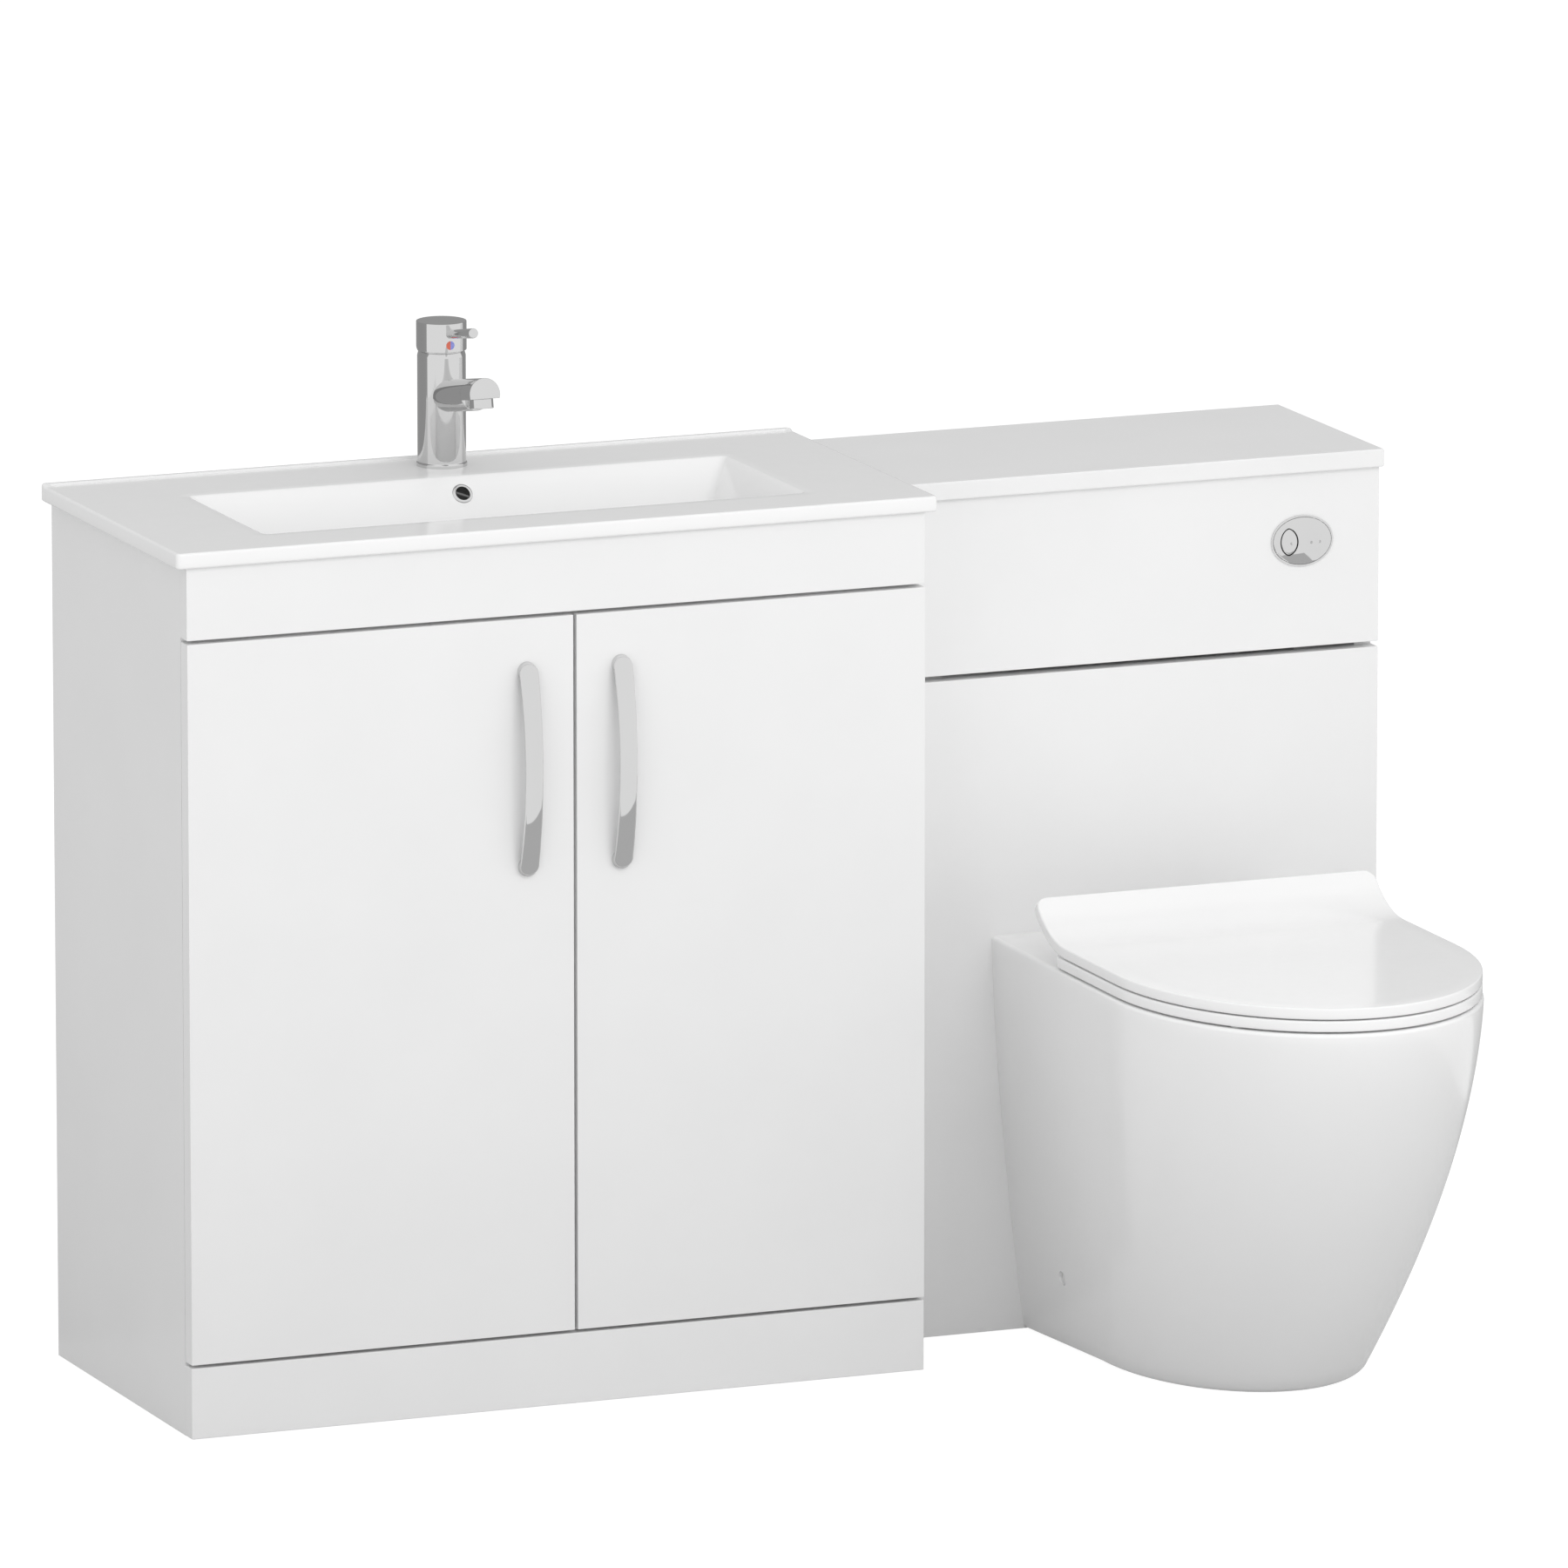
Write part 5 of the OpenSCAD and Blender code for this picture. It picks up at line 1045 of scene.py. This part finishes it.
def add_dot(name, z, start, end, look):
    """Half of a round mark on the front of the cap, bent to the cap's curve."""
    lines = []
    for share, proud in ((1.0, -0.1), (1.0, 0.12), (0.9, 0.2), (0.6, 0.24), (0.3, 0.25), (0.02, 0.25)):
        r = CAP_R + proud
        line = []
        for u, v in arc((0, 0), DOT_R * share, start, end, 24):
            line.append((TAP_X + r * sin(u / CAP_R), TAP_Y - r * cos(u / CAP_R), z + v))
        lines.append(line)
    finish_mesh(name, skin(name, lines, caps=False, strip=True), "tap_handle", "chrome", look)


# ---- flush button

BUTTON = "full_flush_button"
BUTTON_X = middle(BUTTON, X)
BUTTON_Z = middle(BUTTON, Z)
BUTTON_HALF_X = half_size(BUTTON, X)
BUTTON_HALF_Z = half_size(BUTTON, Z)
BUTTON_FACE, BUTTON_END = span(BUTTON, Y)
BUTTON_DOME = 4.3
BUTTON_NECK_R = 18
MARK_DROP = 1.4
MARK_PROUD = 0.02

LENS_NODE = "half_flush_button"
LENS_X = middle(LENS_NODE, X)
LENS_Z = middle(LENS_NODE, Z)
LENS_GAP = 1.15
LENS_HALF_X = half_size(LENS_NODE, X) - LENS_GAP
LENS_HALF_Z = half_size(LENS_NODE, Z) - LENS_GAP
LENS_STEPS = 24
STEM_X = BUTTON_X - 11
STEM_R = 3.0
STEM_START = (STEM_X, BUTTON_FACE, BUTTON_Z)


def lens_outline(grow_x=0.0, grow_z=0.0):
    """Outline halfway between two crossing arcs and an ellipse, so that its tips are a little rounded."""
    a = LENS_HALF_X + grow_x
    b = LENS_HALF_Z + grow_z
    radius = (a * a + b * b) / (2 * a)
    right = []
    for i in range(LENS_STEPS + 1):
        z = b * sin(pi * (i / LENS_STEPS - 0.5))
        crossing = a - radius + sqrt(radius ** 2 - z ** 2)
        oval = a * sqrt(max(1 - (z / b) ** 2, 0))
        right.append((mix(crossing, oval, 0.5), z))
    left = [(-x, -z) for x, z in right[1:-1]]
    return right + left


def button_dome(x, z):
    """Place along y of the button's domed face."""
    return BUTTON_FACE + BUTTON_DOME * (
        ((x - BUTTON_X) / BUTTON_HALF_X) ** 2 + ((z - BUTTON_Z) / BUTTON_HALF_Z) ** 2)


def domed_lens(drop, size=1.0, *grow):
    """The lens's outline laid on the dome, a drop behind its face."""
    points = [(LENS_X + x * size, LENS_Z + z * size) for x, z in lens_outline(*grow)]
    return [(x, button_dome(x, z) + drop, z) for x, z in points]


def flat_lens(y, *grow):
    return [(LENS_X + x, y, LENS_Z + z) for x, z in lens_outline(*grow)]


def add_full_button():
    loops = []
    for share in (0.03, 0.15, 0.3, 0.45, 0.6, 0.72, 0.84, 0.92):
        y = BUTTON_FACE + BUTTON_DOME * share ** 2
        loops.append(ellipse_loop(BUTTON_X, y, BUTTON_Z, BUTTON_HALF_X * share, BUTTON_HALF_Z * share))
    for inset, drop in ((1.0, 0.0), (0.5, 0.1), (0.15, 0.3), (0.0, 0.6)):
        y = BUTTON_FACE + BUTTON_DOME * (1 - inset / BUTTON_HALF_Z) ** 2 + drop
        loops.append(ellipse_loop(BUTTON_X, y, BUTTON_Z, BUTTON_HALF_X - inset, BUTTON_HALF_Z - inset))
    for y in (BUTTON_FACE + 5.0, BUTTON_END):
        loops.append(ellipse_loop(BUTTON_X, y, BUTTON_Z, BUTTON_NECK_R, BUTTON_NECK_R))
    full = loft("oval_button", loops, "full_button", "chrome", angle=45)
    pocket = [flat_lens(y, LENS_GAP, LENS_GAP) for y in (BUTTON_FACE - 3, BUTTON_FACE + 9.6)]
    end = (STEM_X, BUTTON_END + 1, BUTTON_Z)
    cut(full, tool("pocket", pocket), rod_tool("stem_tool", STEM_START, end, STEM_R + 0.05, 32))
    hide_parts("full_flush_button")
    for i, dx in enumerate((7.8, 17.2)):
        add_button_mark(f"button_mark_{i}", BUTTON_X + dx, "full_button")


def add_half_button():
    """Lens, the near-black skirt of painted shade that shows in the gap round it, and the stem behind it."""
    loops = []
    for size, drop in (
            (0.03, 0), (0.3, 0), (0.55, 0), (0.75, 0), (0.9, 0), (0.96, 0.1), (0.99, 0.3), (1.0, 0.6),
            (1.0, 1.2)):
        loops.append(domed_lens(drop, size))
    lens = loft("lens_button", loops, "half_button", "chrome", angle=45)
    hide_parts("half_flush_button")
    skirt = [domed_lens(1.0, 1.0, 0.8, 0.9), flat_lens(BUTTON_FACE + 4.2, 0.8, 0.9)]
    loft("lens_skirt", skirt, "half_button", "grey_plastic", look=painted_shade_black, angle=45)
    end = span(LENS_NODE, Y)[1] - BUTTON_FACE
    stem = [(0.1, 3.5), (STEM_R, 3.5), (STEM_R, end - 0.4), (STEM_R - 0.4, end), (0.1, end)]
    revolve("lens_stem", stem, STEM_START, "half_button", "grey_plastic", turn=BACKWARD, count=32)
    add_button_mark("button_mark_small", LENS_X + 2.2, "half_button")


def add_button_mark(name, x, body):
    """Small round dimple with a raised edge, to tell the large flush from the small one."""
    z = BUTTON_Z - MARK_DROP
    place = (x, button_dome(x, z) + MARK_PROUD, z)
    dimple = [(0.1, 0.04), (0.9, 0.04), (1.35, 0.1), (1.5, 0.0), (1.5, -0.6), (0.1, -0.6)]
    revolve(name, dimple, place, body, "steel", turn=FORWARD, count=32)


# ---- small parts

PLUG_HEIGHT = 4.5
BUFFER_INSET_X = 12
BUFFER_INSET_Z = 14


def add_waste_plug():
    r = half_size("waste_plug", X)
    lowest, top = span("waste_plug", Z)
    base = top - PLUG_HEIGHT
    foot = lowest - base
    profile = [
        (0.1, foot), (3.6, foot), (4.0, foot + 0.6), (4.0, 0), (r - 1.2, 0), (r - 0.3, 0.35), (r, 1.2),
        (r, 2.2), (r - 0.5, 3.0), (r - 2.0, 3.5), (r * 0.75, 3.95), (r * 0.45, 4.3), (0.1, PLUG_HEIGHT)]
    place = (middle("waste_plug", X), WASTE_Y, base)
    plug = revolve("plug_dome", profile, place, "waste_plug", "chrome", angle=50)
    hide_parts("waste_plug")


def add_door_buffers():
    """Two buffers on the inner face of each door, near its free edge."""
    profile = [(0.1, 0), (4.0, 0), (4.0, 0.3), (3.4, 0.65), (0.1, 0.7)]
    for side, free_x in (
            ("left", span("door_left", X)[1] - BUFFER_INSET_X),
            ("right", span("door_right", X)[0] + BUFFER_INSET_X)):
        node = f"door_{side}"
        bottom, top = span(node, Z)
        for word, z in (("low", bottom + BUFFER_INSET_Z), ("high", top - BUFFER_INSET_Z)):
            revolve(
                f"door_buffer_{side}_{word}", profile, (free_x, span(node, Y)[1], z), node, "clear_rubber",
                turn=BACKWARD, count=24)


BOARDS = (
    "vanity_side_left", "vanity_side_right", "vanity_base", "vanity_front_rail", "vanity_shelf", "fascia",
    "plinth", "door_left", "door_right", "wc_side_left", "wc_side_right", "wc_front_rail", "cistern_shelf",
    "upper_panel", "lower_panel")
BOARD_ROUND = 0.7
WORKTOP_ROUND = 1.6
CISTERN_ROUND = 1.2
ROUND_WELD = 0.00002
ROUND_ANGLE = 30


def soften(node, width, segments=3):
    """Rounds a CAD node's edges for the eye; its own mesh stays as it is."""
    weld = nodes[node].modifiers.new("weld", "WELD")
    weld.merge_threshold = ROUND_WELD
    edge = nodes[node].modifiers.new("edges", "BEVEL")
    edge.width = width * MM
    edge.segments = segments
    edge.limit_method = "ANGLE"
    edge.angle_limit = radians(ROUND_ANGLE)
    edge.harden_normals = False


def dress_nodes():
    for entry in frame["record"]["subparts"]:
        materials = nodes[entry["node"]].data.materials
        materials.clear()
        materials.append(SLOT_LOOKS[entry["material_slot"]])
    for node in BOARDS:
        soften(node, BOARD_ROUND)
    soften("worktop", WORKTOP_ROUND)
    for node in ("cistern_tank", "cistern_lid"):
        soften(node, CISTERN_ROUND, 2)


# ---- stage

WORLD_FILL = 0.82
FLOOR_GLOW = 0.93
FLOOR_CATCH = 0.16
FLOOR_HALF = 60.0
FLOOR_DROP = 0.0002
# Size of the floor's painted-shade patch round the object, in metres.
PATCH_REACH = (1.21, 1.08)
PATCH_EDGE = 0.01
CARD_SIZE = 4
CARD_GAP = 0.05


def maths(tree, operation, *values):
    """One step of arithmetic on numbers and other nodes' outputs."""
    return add_node(tree, "Math", dict(enumerate(values)), operation=operation).outputs[0]


def background_rays(tree):
    """1 for what the camera sees directly, in metal or through glass; 0 for light that meets the object."""
    path = tree.nodes.new("ShaderNodeLightPath").outputs
    direct = maths(tree, "MAXIMUM", path["Is Camera Ray"], path["Is Glossy Ray"])
    return maths(tree, "MAXIMUM", direct, path["Is Transmission Ray"])


def mix_shader(tree, factor, first, second):
    return add_node(tree, "MixShader", {"Fac": factor, 1: first, 2: second}).outputs[0]


def glow_shader(tree, strength, colour=(1, 1, 1, 1)):
    return add_node(tree, "Emission", {"Strength": strength, "Color": colour}).outputs[0]


def matt_shader(tree, colour):
    return add_node(tree, "BsdfDiffuse", {"Color": colour}).outputs[0]


def nearness(tree, reach):
    """1 at the object's middle, falling to 0 on a circle round it."""
    inputs = {"Vector": object_point(tree), "Scale": (1 / reach, 1 / reach, 0)}
    mapping = add_node(tree, "Mapping", inputs)
    inputs = {"Vector": mapping.outputs["Vector"]}
    return add_node(tree, "TexGradient", inputs, gradient_type="SPHERICAL").outputs["Fac"]


def painted_shade_patch(tree, half_x, half_y):
    """1 inside a rectangle round the object's middle, falling to 0 over a few millimetres at its edge: the
    mask of the floor's painted shade.
    """
    parts = add_node(tree, "SeparateXYZ", {0: object_point(tree)}).outputs
    depths = [maths(tree, "SUBTRACT", half, maths(tree, "ABSOLUTE", parts[axis]))
              for axis, half in ((X, half_x), (Y, half_y))]
    return rescale(tree, maths(tree, "MINIMUM", *depths), {"From Max": PATCH_EDGE})


def add_world():
    world = bpy.data.worlds.new("studio")
    bpy.context.scene.world = world
    world.use_nodes = True
    tree = world.node_tree
    tree.nodes.clear()
    output = tree.nodes.new("ShaderNodeOutputWorld")
    fill, seen = [
        add_node(tree, "Background", {"Color": (1, 1, 1, 1), "Strength": strength}).outputs[0]
        for strength in (WORLD_FILL, 1.0)]
    tree.links.new(mix_shader(tree, background_rays(tree), fill, seen), output.inputs["Surface"])


def add_sheet(name, corners, material):
    """A flat studio surface that isn't part of the object; corners are in the frame's metres."""
    mesh = bpy.data.meshes.new(name)
    mesh.from_pydata(corners, [], [(0, 1, 2, 3)])
    mesh.materials.append(material)
    return add_object(name, mesh)


def floor_material():
    """White to the camera, with the object's shadow; near the object it is painted greyer, a painted shade
    seen in mirrors and in bounced light.
    """
    material, tree, surface = new_surface("pale_floor")
    # Painted shade: the floor darkens round the object in reflections and in the light it bounces.
    near = painted_shade_patch(tree, *PATCH_REACH)
    lit = matt_shader(tree, ramp(tree, near, 0.9, 0.55, 0.0, 1.0))
    reflected = glow_shader(tree, 1.0, ramp(tree, near, 1.0, 0.56, 0.0, 1.0))
    catch = matt_shader(tree, rgba(FLOOR_CATCH))
    caught = add_node(tree, "AddShader", {0: glow_shader(tree, FLOOR_GLOW), 1: catch}).outputs[0]
    camera_ray = tree.nodes.new("ShaderNodeLightPath").outputs["Is Camera Ray"]
    seen = mix_shader(tree, camera_ray, reflected, caught)
    tree.links.new(mix_shader(tree, background_rays(tree), lit, seen), surface)
    return material


def add_floor():
    half = FLOOR_HALF
    corners = [(-half, -half, 0), (half, -half, 0), (half, half, 0), (-half, half, 0)]
    floor = add_sheet("floor", corners, floor_material())
    floor.location.z = -FLOOR_DROP


def card_material():
    material, tree, surface = new_surface("card_grey")
    colour = ramp(tree, nearness(tree, CARD_SIZE), 0.5, 0.33, 0.2, 1.0)
    tree.links.new(glow_shader(tree, 1.0, colour), surface)
    return material


def add_back_card():
    """Grey studio card behind the object that only reflections see: it gives the chrome its dark sides."""
    y = cad_box[1][Y] + CARD_GAP
    size = CARD_SIZE
    corners = [(-size, y, 0), (size, y, 0), (size, y, size), (-size, y, size)]
    card = add_sheet("back_card", corners, card_material())
    for ray in ("camera", "diffuse", "shadow", "transmission"):
        setattr(card, f"visible_{ray}", False)


def add_softbox(name, place, aim, size, power):
    """Soft light that mirrors don't show."""
    data = bpy.data.lights.new(name, "AREA")
    data.shape = "RECTANGLE"
    data.size, data.size_y = size
    data.energy = power
    lamp = add_object(name, data)
    lamp.location = place
    lamp.rotation_euler = (Vector(aim) - Vector(place)).to_track_quat("-Z", "Y").to_euler()
    lamp.visible_glossy = False


def add_studio():
    add_world()
    add_floor()
    add_back_card()
    add_softbox("front_softbox", place=(0.1, -3.0, 2.8), aim=(0.0, 0.0, 0.55), size=(2.0, 1.6), power=32.5)
    add_softbox("left_softbox", place=(-2.6, -2.6, 1.1), aim=(0.0, 0.0, 0.45), size=(1.6, 1.6), power=7)
    add_softbox("right_softbox", place=(2.6, -2.4, 0.9), aim=(0.4, 0.0, 0.4), size=(1.6, 1.6), power=4)


# ---- build

dress_nodes()
add_basin()
add_overflow()
add_waste_plug()
add_pan()
add_lid()
add_seat()
add_handle("left", "handle_left", "door_left")
add_handle("right", "handle_right", "door_right")
add_tap_column()
add_spout()
add_cap()
add_full_button()
add_half_button()
add_door_buffers()
add_studio()
